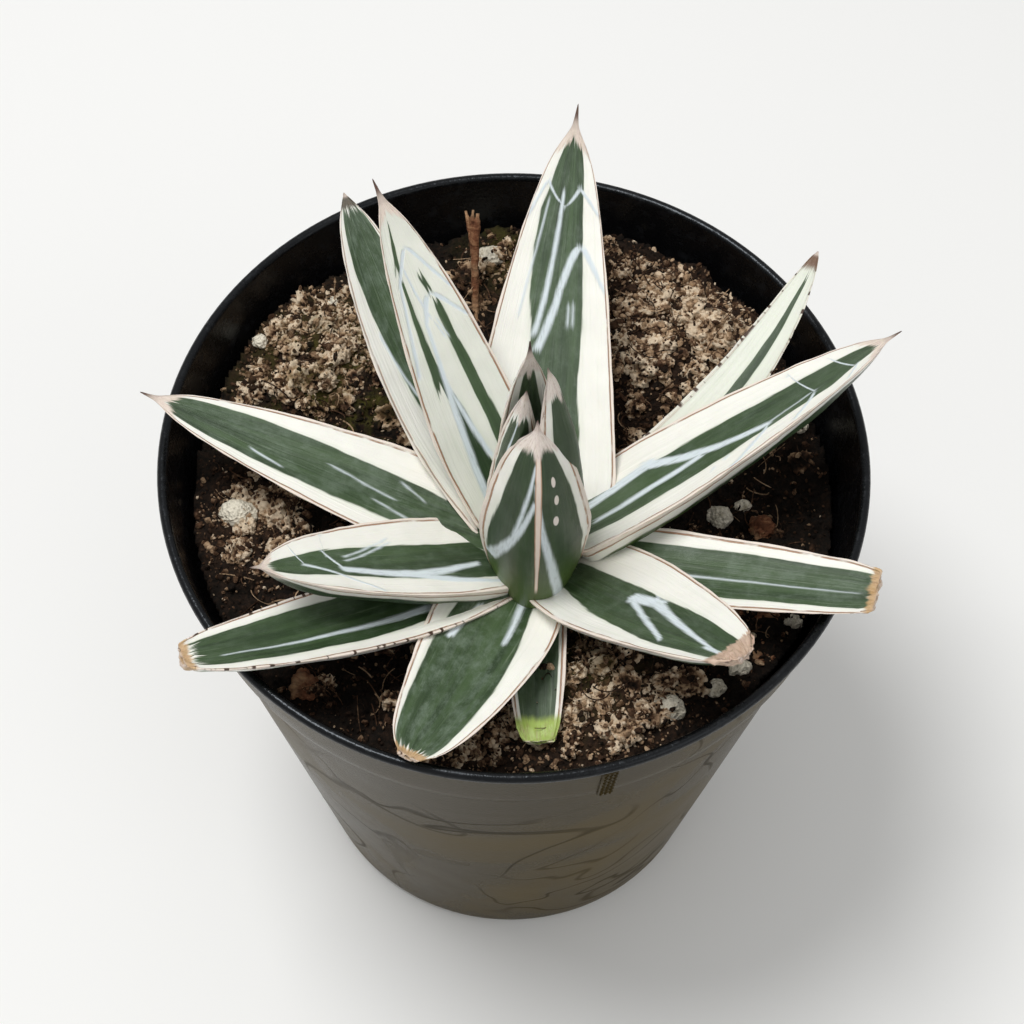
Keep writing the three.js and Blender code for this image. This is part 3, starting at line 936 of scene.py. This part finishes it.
class LeafPattern:
    """The coordinates and masks of one leaf's colours."""

    def __init__(self, finish, leaf, seed):
        self.finish = finish
        self.half_width = leaf["width"] / 2
        self.length = leaf["length"]
        self.across = finish.attribute("across")
        self.along = finish.attribute("along")
        self.under = finish.attribute("under").step(0.3, 0.7)
        self.x = self.across * self.half_width
        self.z = self.along * self.length
        self.seed = seed

    def streaks(self, width, run, detail=3.0, roughness=0.6):
        """Noise of a width across and a run along the leaf, in millimetres."""
        vector = self.finish.joined(self.x * (1 / width), self.z * (1 / run), self.under * 3 + self.seed)
        return self.finish.noise(vector, 1.0, detail, roughness)

    def stripe(self, shape, across, soft, along):
        """1 on a stripe and 0 off it, for the place across and along that the caller has made ragged."""
        (a0, t0, w0), (a1, t1, w1), bow, fill = shape
        centre = self.along.between(t0, t1, a0, a1)
        if bow != 1:
            centre = (self.along.between(t0, t1) ** bow).scaled(a1 - a0, a0)
        half = self.along.between(t0, t1, w0, w1)
        if fill != 1:
            half = (self.along.between(t0, t1) ** fill).scaled(w1 - w0, w0)
        mask = (abs(across - centre) - half).step(soft, -soft)
        low, high = min(t0, t1), max(t0, t1)
        if low > 0.02:
            mask = mask * along.step(low - 0.012, low + 0.012)
        return mask * along.step(high + 0.012, high - 0.012)


def any_of(f, masks):
    """The highest of several masks, or nothing."""
    if not masks:
        return f.add("ShaderNodeValue")
    whole = masks[0]
    for mask in masks[1:]:
        whole = whole.highest(mask)
    return whole


def leaf_colour(f, p, look, plant):
    """Cream and green in ragged stripes, with pressed lines, the horny margin and the tip.
    Gives the colour, and the masks that the relief and the roughness need too."""
    edge_noise = (p.streaks(2.2, 16) - 0.5) * 0.22
    fine = p.streaks(0.35, 9, 2.0, 0.5)
    ragged = (p.streaks(0.5, 40, 2.0, 0.5) - 0.5) * 0.14
    blotch = p.streaks(2.6, 3.4, 5.0, 0.72)
    long_streaks = p.streaks(0.8, 22, 3.0, 0.6)

    torn, torn_along = p.across + edge_noise, p.along + ragged
    green_mask = any_of(f, [p.stripe(shape, torn, 0.018, torn_along) for shape in look["green"]])
    halo_mask = any_of(f, [p.stripe(shape, torn + edge_noise * 0.6, 0.12, torn_along) for shape in look["green"]])
    if look["tip"] != "papery":  # an open leaf is green below, up to its margins
        below = abs(torn).step(0.8, 0.72) * p.along.step(1.0, 0.9)
        green_mask = green_mask * (1 - p.under) + below * p.under

    broad = p.streaks(3.5, 24, 2.0)
    green = f.mix((long_streaks * 0.5 + broad * 0.7).step(0.42, 0.78) * 0.85, plant.green, plant.deep_green_and_shade)
    green = f.mix(blotch.step(0.4, 0.72) * look["haze"] * 0.8, green, plant.bloom)
    green = f.mix(fine.step(0.62, 0.8) * 0.16, green, PALE_GREEN)
    # painted shade: the underside is darkened half way to deep green
    green = f.mix(p.under * 0.5, green, plant.deep_green_and_shade)
    green = f.mix(p.under * p.along.step(0.45, 0.05) * 0.6, green, YOUNG_GREEN)
    cream = f.mix(long_streaks.step(0.5, 0.85) * 0.2 + look["shade"], plant.cream, PALE_GREEN)
    cream = f.mix(halo_mask * 0.6, cream, PALE_GREEN)
    blotched = f.mix(blotch.step(0.55, 0.85) * 0.18, cream, paint(222, 206, 176))
    colour = f.mix(green_mask, blotched, green)

    pressed = p.across + (fine - 0.5) * 0.05 + (blotch - 0.5) * 0.04
    pressed_along = p.along + (fine - 0.5) * 0.04
    above_lines = any_of(f, [p.stripe(shape, pressed, 0.04, pressed_along) for shape in look["prints"]])
    below_lines = any_of(f, [p.stripe(shape, pressed, 0.04, pressed_along) for shape in look["under"]])
    print_mask = above_lines * (1 - p.under) + below_lines * p.under
    worn = p.streaks(0.45, 2.2, 4.0, 0.7).step(0.2, 0.52)
    print_strength = print_mask * (0.62 + worn * 0.38)
    colour = f.mix(print_strength, colour, plant.imprint)
    for across, along in look["dots"]:
        mark = f.joined((p.across - across) * p.half_width, (p.along - along) * p.length * 0.5, 0.0)
        size = f.add("ShaderNodeVectorMath", {"operation": "LENGTH"}, {0: mark}, "Value")
        colour = f.mix(size.step(0.5, 0.38) * p.under, colour, paint(232, 222, 212))

    nearness = (1 - abs(p.across)) * p.half_width
    waver = (p.streaks(3.0, 2.5) - 0.5) * 0.2
    shown = p.streaks(2.0, 5.0).step(0.3, 0.5)
    line = abs(nearness + waver - 0.62).step(0.19, 0.07) * shown * look["edge"]
    colour = f.mix(line * 0.9, colour, plant.edge_line)
    rim = (nearness + waver * 0.8).step(0.56, 0.44)
    colour = f.mix(rim * 0.75 * look["edge"], colour, plant.edge)
    outer = (nearness + waver * 0.3).step(0.1, 0.02) * p.streaks(1.4, 3.5).step(0.4, 0.65)
    colour = f.mix(outer * 0.5, colour, paint(176, 138, 108))
    if look["dashes"]:
        dashes = p.streaks(4.0, 0.9, 1.0, 0.3).step(0.56, 0.64) * (nearness + waver).step(0.9, 0.5)
        colour = f.mix(dashes, colour, paint(70, 48, 34))
    if look["ridge"]:
        half = p.along.between(0.3, 0.9, 0.3, 0.95)
        from_keel = (abs(p.across + p.along * 0.03) * p.half_width + waver * 0.6) / half
        keel_line = from_keel.step(1, 0.8) * p.under * p.along.step(0.16, 0.22)
        brown = from_keel.step(0.45, 0.8)
        colour = f.mix(keel_line, colour, f.mix(brown * 0.8, plant.edge, plant.edge_line))
    return tip_colour(f, p, look, plant, colour), fine, print_strength, line, rim, long_streaks


def tip_colour(f, p, look, plant, colour):
    """The pale, papery, corky or cut end, and the spine."""
    ends = {
        "pale": (plant.edge, 0.97, 0.99),
        "papery": (paint(234, 222, 212), 0.93, 0.965),
        "dark": (paint(64, 58, 42), 0.965, 0.985),
        "brown": (paint(108, 70, 46), 0.955, 0.98),
        "cork": (plant.cork, look["cork"], look["cork"] + 0.02),
        "dry": (paint(206, 178, 156), look["cork"], look["cork"] + 0.015),
        "lime": (paint(166, 190, 84), 0.84, 0.9),
    }
    shade, start, full = ends[look["tip"]]
    ragged = (p.streaks(1.2, 6.0, 4.0, 0.7) - 0.5) * 0.06
    reach = abs(p.across) * (0.05 if look["tip"] in ("pale", "papery") else 0.0)
    if look["tip"] == "papery":
        reach = reach + abs(p.across).step(0.3, 0.04) * 0.05
    cap = (p.along + ragged + reach).step(start, full)
    mottle = p.streaks(0.6, 1.6, 5.0, 0.75)
    worn = f.mix(mottle.step(0.45, 0.75) * 0.7, shade, paint(140, 100, 70))
    colour = f.mix(cap * 0.92, colour, worn)
    brown = HEART_SPINE_BROWN if look["tip"] == "papery" else SPINE_BROWN
    spine = f.mix(p.along.step(1.15, 1.6), SPINE_PALE, brown)
    return f.mix(p.along.step(1.01, 1.1), colour, spine)


def leaf_finish(name, leaf, look, plant, seed):
    f = Finish(name, Specular_IOR_Level=0.5, Subsurface_Weight=0.06, Subsurface_Radius=(0.4, 0.6, 0.25))
    f.shader.inputs["Subsurface Scale"].default_value = 0.8 * MM
    p = LeafPattern(f, leaf, seed)
    colour, fine, prints, line, rim, long_streaks = leaf_colour(f, p, look, plant)
    f.feed("Base Color", colour)
    pores = f.noise(f.joined(p.x, p.z, p.under), 9.0, 2.0)
    f.feed("Roughness", 0.27 + fine * 0.12 + prints * 0.2 + rim * 0.15 + pores * 0.08)
    f.relief(fine * 0.35 + pores * 0.3 + prints * 0.5 - line * 0.8 + rim * 0.5 + long_streaks * 0.7, 0.00016)
    return f.material


class AGAVE_OT_leaves(bpy.types.Operator):
    """Builds the sixteen leaves of the rosette"""

    bl_idname = "agave.leaves"
    bl_label = "Leaves"

    def execute(self, context):
        plant = context.scene.agave_plant
        for seed, (name, shape) in enumerate(LEAVES.items()):
            leaf = {**PLAIN_LEAF, **shape}
            look = {**PLAIN_LOOK, **LOOKS[name]}
            piece = leaf_blank(f"{name}_blade", leaf, plant)
            subdivide_surface(piece, 2)
            roughen(piece, 9 * MM, 0.5 * MM)
            roughen(piece, 2.2 * MM, 0.12 * MM)
            if look["tip"] in ("cork", "dry", "lime"):
                crumple(piece, leaf, look)
            place_leaf(piece, leaf)
            face_outwards(piece)
            smooth_faces(piece)
            hand_in(piece, "leaf", [leaf_finish(name, leaf, look, plant, seed * 7.3)], name)
        return {"FINISHED"}


def crumple(piece, leaf, look):
    """Breaks up the healed or dried end of a straight leaf."""
    start = leaf["length"] * MM * min(look["cork"], 0.94)
    group = piece.vertex_groups.new(name="end")
    for vertex in piece.data.vertices:
        share = (vertex.co.z - start) / (leaf["length"] * MM - start)
        if share > 0:
            group.add([vertex.index], min(1, share * 1.5), "REPLACE")
    strength = (3.4 if look["tip"] == "dry" else 1.2) * MM
    modify(
        piece, "DISPLACE", texture=clouds("crumple", 1.3 * MM, 3), texture_coords="LOCAL", strength=strength,
        mid_level=0.5, vertex_group="end",
    )


class AGAVE_OT_stem(bpy.types.Operator):
    """Builds the short stem under the leaves"""

    bl_idname = "agave.stem"
    bl_label = "Stem"

    def execute(self, context):
        radius = (STEM_BOX[1].x - STEM_BOX[0].x) / 2
        tall = STEM_BOX[1].z - STEM_BOX[0].z
        shares = [(0.62, 0), (1.0, 0.35), (0.92, 0.5), (0.77, 0.7), (0.77, 0.97), (0.6, 1)]
        profile = [(radius * across, tall * up) for across, up in shares]
        stem = lathe("leaf_stem", 32, profile, (CROWN.x, CROWN.y, STEM_BOX[0].z))
        subdivide_surface(stem, 2)
        roughen(stem, 1.5 * MM, 0.5 * MM)
        smooth_faces(stem)
        f = Finish("stem bark", Roughness=0.85)
        rings = f.noise(f.stretched(1, 1, 4), 300, 4.0)
        f.feed("Base Color", f.ramp(rings, (0.3, paint(92, 72, 48)), (0.7, paint(176, 152, 112))))
        f.relief(rings, 0.0006)
        hand_in(stem, "stem", [f.material], "stem")
        return {"FINISHED"}


# ---- The potting mix ----
# Each mound or hollow: place, radius and height over the level of the mix, in millimetres.
SOIL_LEVEL = 96
MOUNDS = [
    (-31, 24, 13, 5), (25, 29, 15, 7), (8, 42, 10, 4), (-36, -8, 12, 1.5), (14, -38, 10, 3), (36, 2, 13, -4),
    (-24, -32, 10, -2),
]
# Where dry, pale crumbs lie thickest: place and radius in millimetres.
DRY_PATCHES = [(-33, 25, 13), (24, 28, 17), (38, 32, 8), (14, -40, 12), (-40, -8, 9), (-8, -40, 8), (3, 41, 8)]
MOSS_PATCHES = [(-30, 20, 12), (-24, 16, 8), (8, -30, 9), (-2, 44, 6)]
SIDE_TOP = 88  # where the mix meets the wall
SIDE_DEPTH = 84
SIDE_TAPER = 0.72
LARGE_CLOD = (2.4, 4.4)
SMALL_CLOD = (0.9, 2.3)


def patch(patches, x, y):
    """How much a place belongs to the patches, from 0 to 1."""
    return min(1.0, sum(math.exp(-((x - px) ** 2 + (y - py) ** 2) / r**2) for px, py, r in patches))


def soil_finish(soil):
    """Crumbly mix, coloured by how dry it is: each crumb carries its own value, and the bare mix has it from the
    surface. On the clods the value also holds painted shade, dark in their hollows and pale on their knobs.
    """
    f = Finish("potting mix", Roughness=0.95, Specular_IOR_Level=0.2)
    place = f.place()
    dry = f.attribute("dryness")
    grit = f.noise(place, 900, 5.0, 0.75)
    shade = (dry * 0.85 + (grit - 0.5) * 0.9).clamped()
    colour = f.ramp(
        shade, (0.0, soil.dark), (0.22, paint(52, 37, 27)), (0.42, soil.brown), (0.68, soil.tan), (0.95, soil.pale)
    )
    moss = f.attribute("moss") * f.noise(place, 260, 4.0, 0.7).step(0.42, 0.62)
    colour = f.mix(moss * 0.6, colour, paint(92, 88, 36))
    f.feed("Base Color", colour)
    f.relief(f.noise(place, 1800, 4.0, 0.8) + f.cells(place, 1300) * 0.6, 0.0005)
    return f.material


def soil_body(soil):
    """The mix as a whole: its uneven top and its side down the wall."""
    radius = SOIL_BOX[1].x
    count = int(2 * radius / soil.cell)
    clear()
    bpy.ops.mesh.primitive_grid_add(
        x_subdivisions=count, y_subdivisions=count, size=2 * radius, location=(0, 0, SOIL_LEVEL * MM)
    )
    body = named("potting_mix")
    edit(body)
    pick(body, lambda v: v.co.xy.length > radius - 0.2 * MM)
    bpy.ops.mesh.delete(type="VERT")
    for x, y, mound, height in MOUNDS:
        centre = Vector((x, y)) * MM
        bm = bmesh.from_edit_mesh(body.data)
        top = min(bm.verts, key=lambda v: (v.co.xy - centre).length)
        pick(body, lambda v: v is top)
        bpy.ops.transform.translate(
            value=(0, 0, height * MM), use_proportional_edit=True, proportional_edit_falloff="SMOOTH",
            proportional_size=1.8 * mound * MM,
        )
    clear()
    for size, strength in ((8, 3.0), (3.4, 3.2), (1.5, 1.4)):
        roughen(body, size * MM, strength * MM, "Z")
    edit(body, "EDGE")
    pick(body, lambda e: e.is_boundary, "edges")
    bpy.ops.mesh.extrude_region_move()
    resize(0.965, 0.965, 0, (0, 0, SIDE_TOP * MM))
    extrude(z=-SIDE_DEPTH * MM)
    resize(SIDE_TAPER, SIDE_TAPER, 1)
    bpy.ops.mesh.edge_face_add()
    face_outwards(body)
    smooth_faces(body)
    return body


def crumb_shapes(rng):
    """A few lumps, each modelled once, as corner and face arrays."""
    shapes = []
    for i in range(7):
        clear()
        bpy.ops.mesh.primitive_ico_sphere_add(subdivisions=1 if i < 3 else 2, radius=1)
        lump = named("lump")
        lump.scale = (1, rng.uniform(0.6, 0.95), rng.uniform(0.45, 0.9))
        settle(lump)
        edit(lump, action="SELECT")
        bpy.ops.transform.vertex_random(offset=0.3 if i < 3 else 0.24, seed=i + 1)
        clear()
        shapes.append(mesh_arrays(lump))
    return shapes


def clod_shapes(count, subdivisions):
    """Lumps of the radius 1 with a crumbly, hollowed surface."""
    shapes = []
    for i in range(count):
        clear()
        place = (3 * i, subdivisions, 0)  # each in its own part of the noise
        bpy.ops.mesh.primitive_ico_sphere_add(subdivisions=subdivisions, radius=1, location=place)
        lump = named("clod")
        for size, strength in ((0.75, 1.3), (0.36, 0.62), (0.17, 0.28)):
            roughen(lump, size, strength)
        corners, triangles = mesh_arrays(lump)
        shapes.append((corners - np.array(place), triangles))
    return shapes


def clod_copies(surface, count, shapes, sizes, rng):
    """Clods on the mix, most where it is dry. They carry painted light and shade: pale on their knobs and dark in
    their hollows.
    """
    copies = []
    while len(copies) < count:
        hit, dry = drop_point(surface, rng, SOIL_BOX[1].x - 1.3 * sizes[1] * MM)
        if hit is None or rng.random() > 0.1 + dry:
            continue
        corners, triangles = rng.choice(shapes)
        size = rng.uniform(*sizes)
        spin = Matrix.Rotation(rng.uniform(0, 2 * math.pi), 4, "Z") @ Matrix.Rotation(rng.gauss(0, 0.5), 4, "X")
        spread = Matrix.Diagonal(Vector((1, rng.uniform(0.7, 1), rng.uniform(0.55, 0.9))) * size * MM).to_4x4()
        away = np.linalg.norm(corners, axis=1)
        tone = rng.gauss(0.34 + 0.6 * dry, 0.18)
        # painted shade: on top of its dry tone, each clod is darker in its hollows and paler on its knobs
        dryness = np.clip(tone + (away - away.mean()) / away.std() * 0.3, 0, 1.2)
        place = hit - Vector((0, 0, 0.2 * size * MM))
        moss = patch(MOSS_PATCHES, place.x / MM, place.y / MM) * rng.random()
        copies.append(((corners, triangles), Matrix.Translation(place) @ spin @ spread, dryness, moss))
    return copies


def fibre_shape(degrees):
    """A thin bent fibre, one unit long."""
    clear()
    bpy.ops.mesh.primitive_cylinder_add(vertices=3, radius=0.02, depth=1, end_fill_type="NGON")
    fibre = named("fibre")
    edit(fibre)
    cut_lengthwise_edges(fibre, 1, 7)
    clear()
    bend(fibre, "Y", degrees)
    fibre.rotation_euler = (0, math.pi / 2, 0)
    settle(fibre)
    return mesh_arrays(fibre)


def mesh_arrays(piece):
    """The corners and triangles of a model, which is then removed."""
    mesh = piece.data
    mesh.calc_loop_triangles()
    corners = np.array([v.co for v in mesh.vertices])
    triangles = np.array([t.vertices for t in mesh.loop_triangles])
    bpy.data.objects.remove(piece)
    return corners, triangles


def scattered(name, copies):
    """One mesh from many placed copies: (shape, matrix, dryness, moss)."""
    corners, triangles, dryness, moss = [], [], [], []
    start = 0
    for (shape_corners, shape_triangles), matrix, dry, green in copies:
        corners.append(shape_corners @ np.array(matrix.to_3x3()).T + np.array(matrix.translation))
        triangles.append(shape_triangles + start)
        dryness.append(np.broadcast_to(dry, len(shape_corners)))
        moss.append(np.full(len(shape_corners), green))
        start += len(shape_corners)
    mesh = bpy.data.meshes.new(name)
    mesh.from_pydata(np.concatenate(corners).tolist(), [], np.concatenate(triangles).tolist())
    piece = bpy.data.objects.new(name, mesh)
    bpy.context.scene.collection.objects.link(piece)
    point_values(piece, "dryness", np.concatenate(dryness))
    point_values(piece, "moss", np.concatenate(moss))
    return piece


def drop_point(surface, rng, reach):
    """A random place on the mix, or None past its edge, and how dry the mix is there."""
    radius = reach * math.sqrt(rng.random())
    angle = rng.uniform(0, 2 * math.pi)
    x, y = radius * math.cos(angle), radius * math.sin(angle)
    hit = surface.ray_cast(Vector((x, y, 0.2)), Vector((0, 0, -1)))[0]
    return hit, patch(DRY_PATCHES, x / MM, y / MM)


def crumb_copies(surface, soil, shapes, rng):
    """Fine crumbs all over. Moss grows on some of those in its patches."""
    copies = []
    while len(copies) < soil.crumb_count:
        hit, dry = drop_point(surface, rng, SOIL_BOX[1].x - 0.8 * MM)
        if hit is None or rng.random() > 0.35 + dry:
            continue
        size = rng.uniform(0.16, 0.42) + 0.6 * rng.random() ** 7
        spread = Matrix.Diagonal(Vector((1, rng.uniform(0.5, 1), rng.uniform(0.5, 1))) * size * MM).to_4x4()
        spin = Euler([rng.uniform(0, 2 * math.pi) for _ in range(3)]).to_matrix().to_4x4()
        place = hit + Vector((0, 0, rng.uniform(-0.1, 0.25) * MM))
        dryness = rng.gauss(0.2 + 0.45 * dry, 0.25)
        if rng.random() < 0.014:
            dryness = 1.1
        moss = patch(MOSS_PATCHES, place.x / MM, place.y / MM) * rng.random()
        kind = shapes[rng.randrange(3)] if size < 0.6 else shapes[rng.randrange(3, 7)]
        copies.append((kind, Matrix.Translation(place) @ spin @ spread, min(1.15, max(0.0, dryness)), moss))
    return copies


def surface_of(pieces):
    """What falls from above lands on these pieces."""
    corners, faces = [], []
    for piece in pieces:
        start = len(corners)
        corners.extend(v.co for v in piece.data.vertices)
        faces.extend([start + i for i in face.vertices] for face in piece.data.polygons)
    return BVHTree.FromPolygons(corners, faces)


def fibre_copies(surface, soil, rng):
    shapes = [fibre_shape(degrees) for degrees in (20, 60, 110, 160)]
    copies = []
    while len(copies) < soil.fibre_count:
        hit, _ = drop_point(surface, rng, SOIL_BOX[1].x - 4 * MM)
        if hit is None:
            continue
        long = rng.uniform(2.0, 6.5) * MM
        thick = rng.uniform(2.2, 6.5) * MM
        spread = Matrix.Diagonal((long, thick, thick, 1))
        tilt = rng.gauss(0, 0.35)
        spin = Euler((rng.uniform(0, 6.28), tilt, rng.uniform(0, 6.28))).to_matrix().to_4x4()
        at = Matrix.Translation(hit + Vector((0, 0, rng.uniform(0.2, 1.0) * MM)))
        copies.append((rng.choice(shapes), at @ spin @ spread, rng.choice((0.25, 0.4, 0.5, 0.75)), 0.0))
    return copies


class AGAVE_OT_soil(bpy.types.Operator):
    """Builds the potting mix with its crumbs and fibres"""

    bl_idname = "agave.soil"
    bl_label = "Potting mix"

    def execute(self, context):
        soil = context.scene.agave_soil
        rng = random.Random(11)
        body = soil_body(soil)
        points = [v.co / MM for v in body.data.vertices]
        point_values(body, "dryness", [0.02 + 0.22 * patch(DRY_PATCHES, p.x, p.y) for p in points])
        point_values(body, "moss", [patch(MOSS_PATCHES, p.x, p.y) for p in points])
        surface = surface_of([body])
        material = soil_finish(soil)
        hand_in(body, "soil", [material], "soil")
        large = clod_copies(surface, soil.large_clods, clod_shapes(8, 5), LARGE_CLOD, rng)
        small = clod_copies(surface, soil.small_clods, clod_shapes(8, 4), SMALL_CLOD, rng)
        clods = [scattered("soil_clods_1", large)]
        for i in range(3):
            clods.append(scattered(f"soil_clods_{i + 2}", small[i::3]))
        for piece in clods:
            smooth_faces(piece)
            hand_in(piece, "soil", [material])
        surface = surface_of([body, *clods])
        copies = crumb_copies(surface, soil, crumb_shapes(rng), rng)
        for i in range(2):
            hand_in(scattered(f"soil_crumbs_{i + 1}", copies[i::2]), "soil", [material])
        hand_in(scattered("soil_fibres", fibre_copies(surface, soil, rng)), "soil", [material])
        return {"FINISHED"}


# ---- What lies on the mix ----

TWIG_STRANDS = ((0.6, 0, 10), (0.42, -5, -16), (0.34, 7, 26))  # radius in millimetres, lean and bow in degrees


def grain_names(prefix):
    return sorted((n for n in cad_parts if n.startswith(prefix)), key=lambda n: int(n.split("_")[-1]))


def lump_in(node, name, subdivisions, swell):
    """A smooth lump about as large as a node of the frame."""
    low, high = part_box(node)
    clear()
    bpy.ops.mesh.primitive_ico_sphere_add(subdivisions=subdivisions, radius=0.5, location=(low + high) / 2)
    lump = bpy.context.active_object
    lump.scale = (high - low) * swell
    return named(name)


def perlite_finish():
    f = Finish("expanded perlite", Roughness=0.85, Specular_IOR_Level=0.3)
    place = f.place()
    pits = f.cells(place, 1900)
    dirt = f.noise(place, 420, 5.0, 0.7).step(0.48, 0.75)
    # painted shade: the perlite is greyed at the bottoms of its pits
    white = f.mix(pits.step(0.45, 0.1) * 0.5, paint(240, 232, 212), paint(186, 176, 156))
    f.feed("Base Color", f.mix(dirt * 0.6, white, paint(150, 134, 96)))
    f.relief(pits + f.noise(place, 3000, 3.0) * 0.6, 0.0004)
    return f.material


class AGAVE_OT_perlite(bpy.types.Operator):
    """Builds the grains of perlite"""

    bl_idname = "agave.perlite"
    bl_label = "Perlite"

    def execute(self, context):
        material = perlite_finish()
        for node in grain_names("perlite_"):
            grain = lump_in(node, node.replace("perlite", "perlite_grain"), 4, 0.95)
            roughen(grain, 1.7 * MM, 1.3 * MM)
            roughen(grain, 0.5 * MM, 0.35 * MM)
            smooth_faces(grain)
            hand_in(grain, "perlite", [material], node)
        return {"FINISHED"}


def bark_finish():
    f = Finish("bark and dry leaf", Roughness=0.9, Specular_IOR_Level=0.25)
    place = f.place()
    fibres = f.noise(f.stretched(0.3, 1, 1), 1100, 5.0, 0.7)
    blotch = f.noise(place, 260, 3.0)
    bark = f.ramp(
        fibres, (0.3, paint(58, 34, 24)), (0.5, paint(120, 76, 52)), (0.66, paint(176, 132, 96)),
        (0.8, paint(216, 184, 148)),
    )
    f.feed("Base Color", f.mix(blotch.step(0.45, 0.7) * 0.5, bark, paint(196, 164, 126)))
    f.relief(fibres, 0.0006)
    return f.material


class AGAVE_OT_bark(bpy.types.Operator):
    """Builds the bits of bark and dried leaf, and the twig"""

    bl_idname = "agave.bark"
    bl_label = "Bark and twig"

    def execute(self, context):
        material = bark_finish()
        for node in grain_names("bark_"):
            bit = lump_in(node, node.replace("bark", "bark_bit"), 5, 0.92)
            roughen(bit, 2.2 * MM, 2.4 * MM)
            roughen(bit, 0.8 * MM, 0.9 * MM)
            smooth_faces(bit)
            hand_in(bit, "bark", [material], node)
        twig = build_twig()
        hand_in(twig, "bark", [material], "twig")
        return {"FINISHED"}


def build_twig():
    """A bundle of three dry fibres that leans on the clumps at the back."""
    low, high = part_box("twig")
    tall = 1.2 * math.hypot(high.z - low.z, high.y - low.y)
    lie = math.degrees(math.atan2(high.y - low.y, high.z - low.z))
    strands = []
    middle = (low + high) / 2 + Vector((0, 0, 1.2 * MM))
    for i, (radius, lean, bow) in enumerate(TWIG_STRANDS):
        clear()
        bpy.ops.mesh.primitive_cylinder_add(vertices=10, radius=radius * MM, depth=tall, end_fill_type="NGON")
        strand = named("strand")
        edit(strand)
        cut_lengthwise_edges(strand, tall, 30)
        bpy.ops.mesh.select_mode(type="VERT")
        pick(strand, lambda v: v.co.z > tall * 0.45)
        resize(0.5, 0.5, 1)
        clear()
        bend(strand, "Y", bow)
        strand.rotation_euler = (math.radians(lean - lie), 0, math.radians(8 * i))
        strand.location = middle + Vector((0, (i - 1) * 0.5 * MM, 0))
        settle(strand)
        roughen(strand, 1.1 * MM, 0.5 * MM)
        strands.append(strand)
    twig = join("dry_twig", strands)
    smooth_faces(twig)
    return twig


# ---- The stage ----

FLOOR_SIZE = 40
FLOOR_GAP = 0.2 * MM
WORLD_STRENGTH = 0.5
CAMERA_PLACE = (-0.0002, -0.17555, 0.39033)
SENSOR_WIDTH = 36


def soft_light(name, power, size, place, aim):
    light = bpy.data.lights.new(name, "AREA")
    light.energy = power
    light.shape = "DISK"
    light.size = size
    lamp = bpy.data.objects.new(name, light)
    lamp.location = place
    lamp.rotation_euler = (Vector(aim) - Vector(place)).to_track_quat("-Z", "Y").to_euler()
    bpy.context.scene.collection.objects.link(lamp)


class AGAVE_OT_stage(bpy.types.Operator):
    """Sets the floor, the lights and the camera"""

    bl_idname = "agave.stage"
    bl_label = "Stage"

    def execute(self, context):
        scene = context.scene
        stage = scene.agave_stage
        scene.view_settings.view_transform = "Standard"
        clear()
        bpy.ops.mesh.primitive_plane_add(size=FLOOR_SIZE, location=(0, 0, -FLOOR_GAP))
        floor = named("floor")
        f = Finish("pale floor", Roughness=0.9)
        f.shader.inputs["Base Color"].default_value = paint(246, 246, 244)
        floor.data.materials.append(f.material)

        world = bpy.data.worlds.new("studio")
        world.use_nodes = True
        background = world.node_tree.nodes["Background"]
        background.inputs["Color"].default_value = stage.world
        background.inputs["Strength"].default_value = WORLD_STRENGTH
        scene.world = world
        middle = (0, 0, 0.1)
        soft_light("key", 3.6, 0.3, (-0.2, 0.04, 0.8), middle)
        soft_light("fill", 0.7, 0.6, (0.5, -0.45, 0.55), middle)

        camera = bpy.data.objects.new("camera", bpy.data.cameras.new("camera"))
        scene.collection.objects.link(camera)
        camera.data.lens = stage.lens
        camera.data.sensor_width = SENSOR_WIDTH
        camera.location = CAMERA_PLACE
        look = Matrix.Rotation(math.pi / 2 - stage.tilt, 4, "X") @ Matrix.Rotation(stage.roll, 4, "Z")
        camera.rotation_euler = look.to_euler()
        camera.data.clip_start = 0.01
        scene.camera = camera
        return {"FINISHED"}


# ---- The add-on ----


class AGAVE_PT_panel(bpy.types.Panel):
    """Lists the operators and their settings"""

    bl_label = "Potted agave"
    bl_idname = "AGAVE_PT_panel"
    bl_space_type = "VIEW_3D"
    bl_region_type = "UI"
    bl_category = "Agave"

    def draw(self, context):
        for settings, operators in STEPS:
            box = self.layout.box()
            group = getattr(context.scene, settings)
            for key in group.bl_rna.properties.keys():
                if key not in ("rna_type", "name"):
                    box.prop(group, key)
            for operator in operators:
                box.operator(operator)


STEPS = (
    ("agave_stage", ("agave.stage",)),
    ("agave_pot", ("agave.pot",)),
    ("agave_soil", ("agave.soil", "agave.perlite", "agave.bark")),
    ("agave_plant", ("agave.stem", "agave.leaves")),
)
SETTINGS = {
    "agave_pot": PotSettings,
    "agave_plant": PlantSettings,
    "agave_soil": SoilSettings,
    "agave_stage": StageSettings,
}
CLASSES = (
    *SETTINGS.values(), AGAVE_OT_pot, AGAVE_OT_leaves, AGAVE_OT_stem, AGAVE_OT_soil, AGAVE_OT_perlite,
    AGAVE_OT_bark, AGAVE_OT_stage, AGAVE_PT_panel,
)


def register():
    for cls in CLASSES:
        bpy.utils.register_class(cls)
    for key, group in SETTINGS.items():
        setattr(bpy.types.Scene, key, PointerProperty(type=group))


def unregister():
    for key in SETTINGS:
        delattr(bpy.types.Scene, key)
    for cls in reversed(CLASSES):
        bpy.utils.unregister_class(cls)


def main():
    register()
    for _, operators in STEPS:
        for operator in operators:
            group, name = operator.split(".")
            getattr(getattr(bpy.ops, group), name)()


if __name__ == "__main__":
    main()
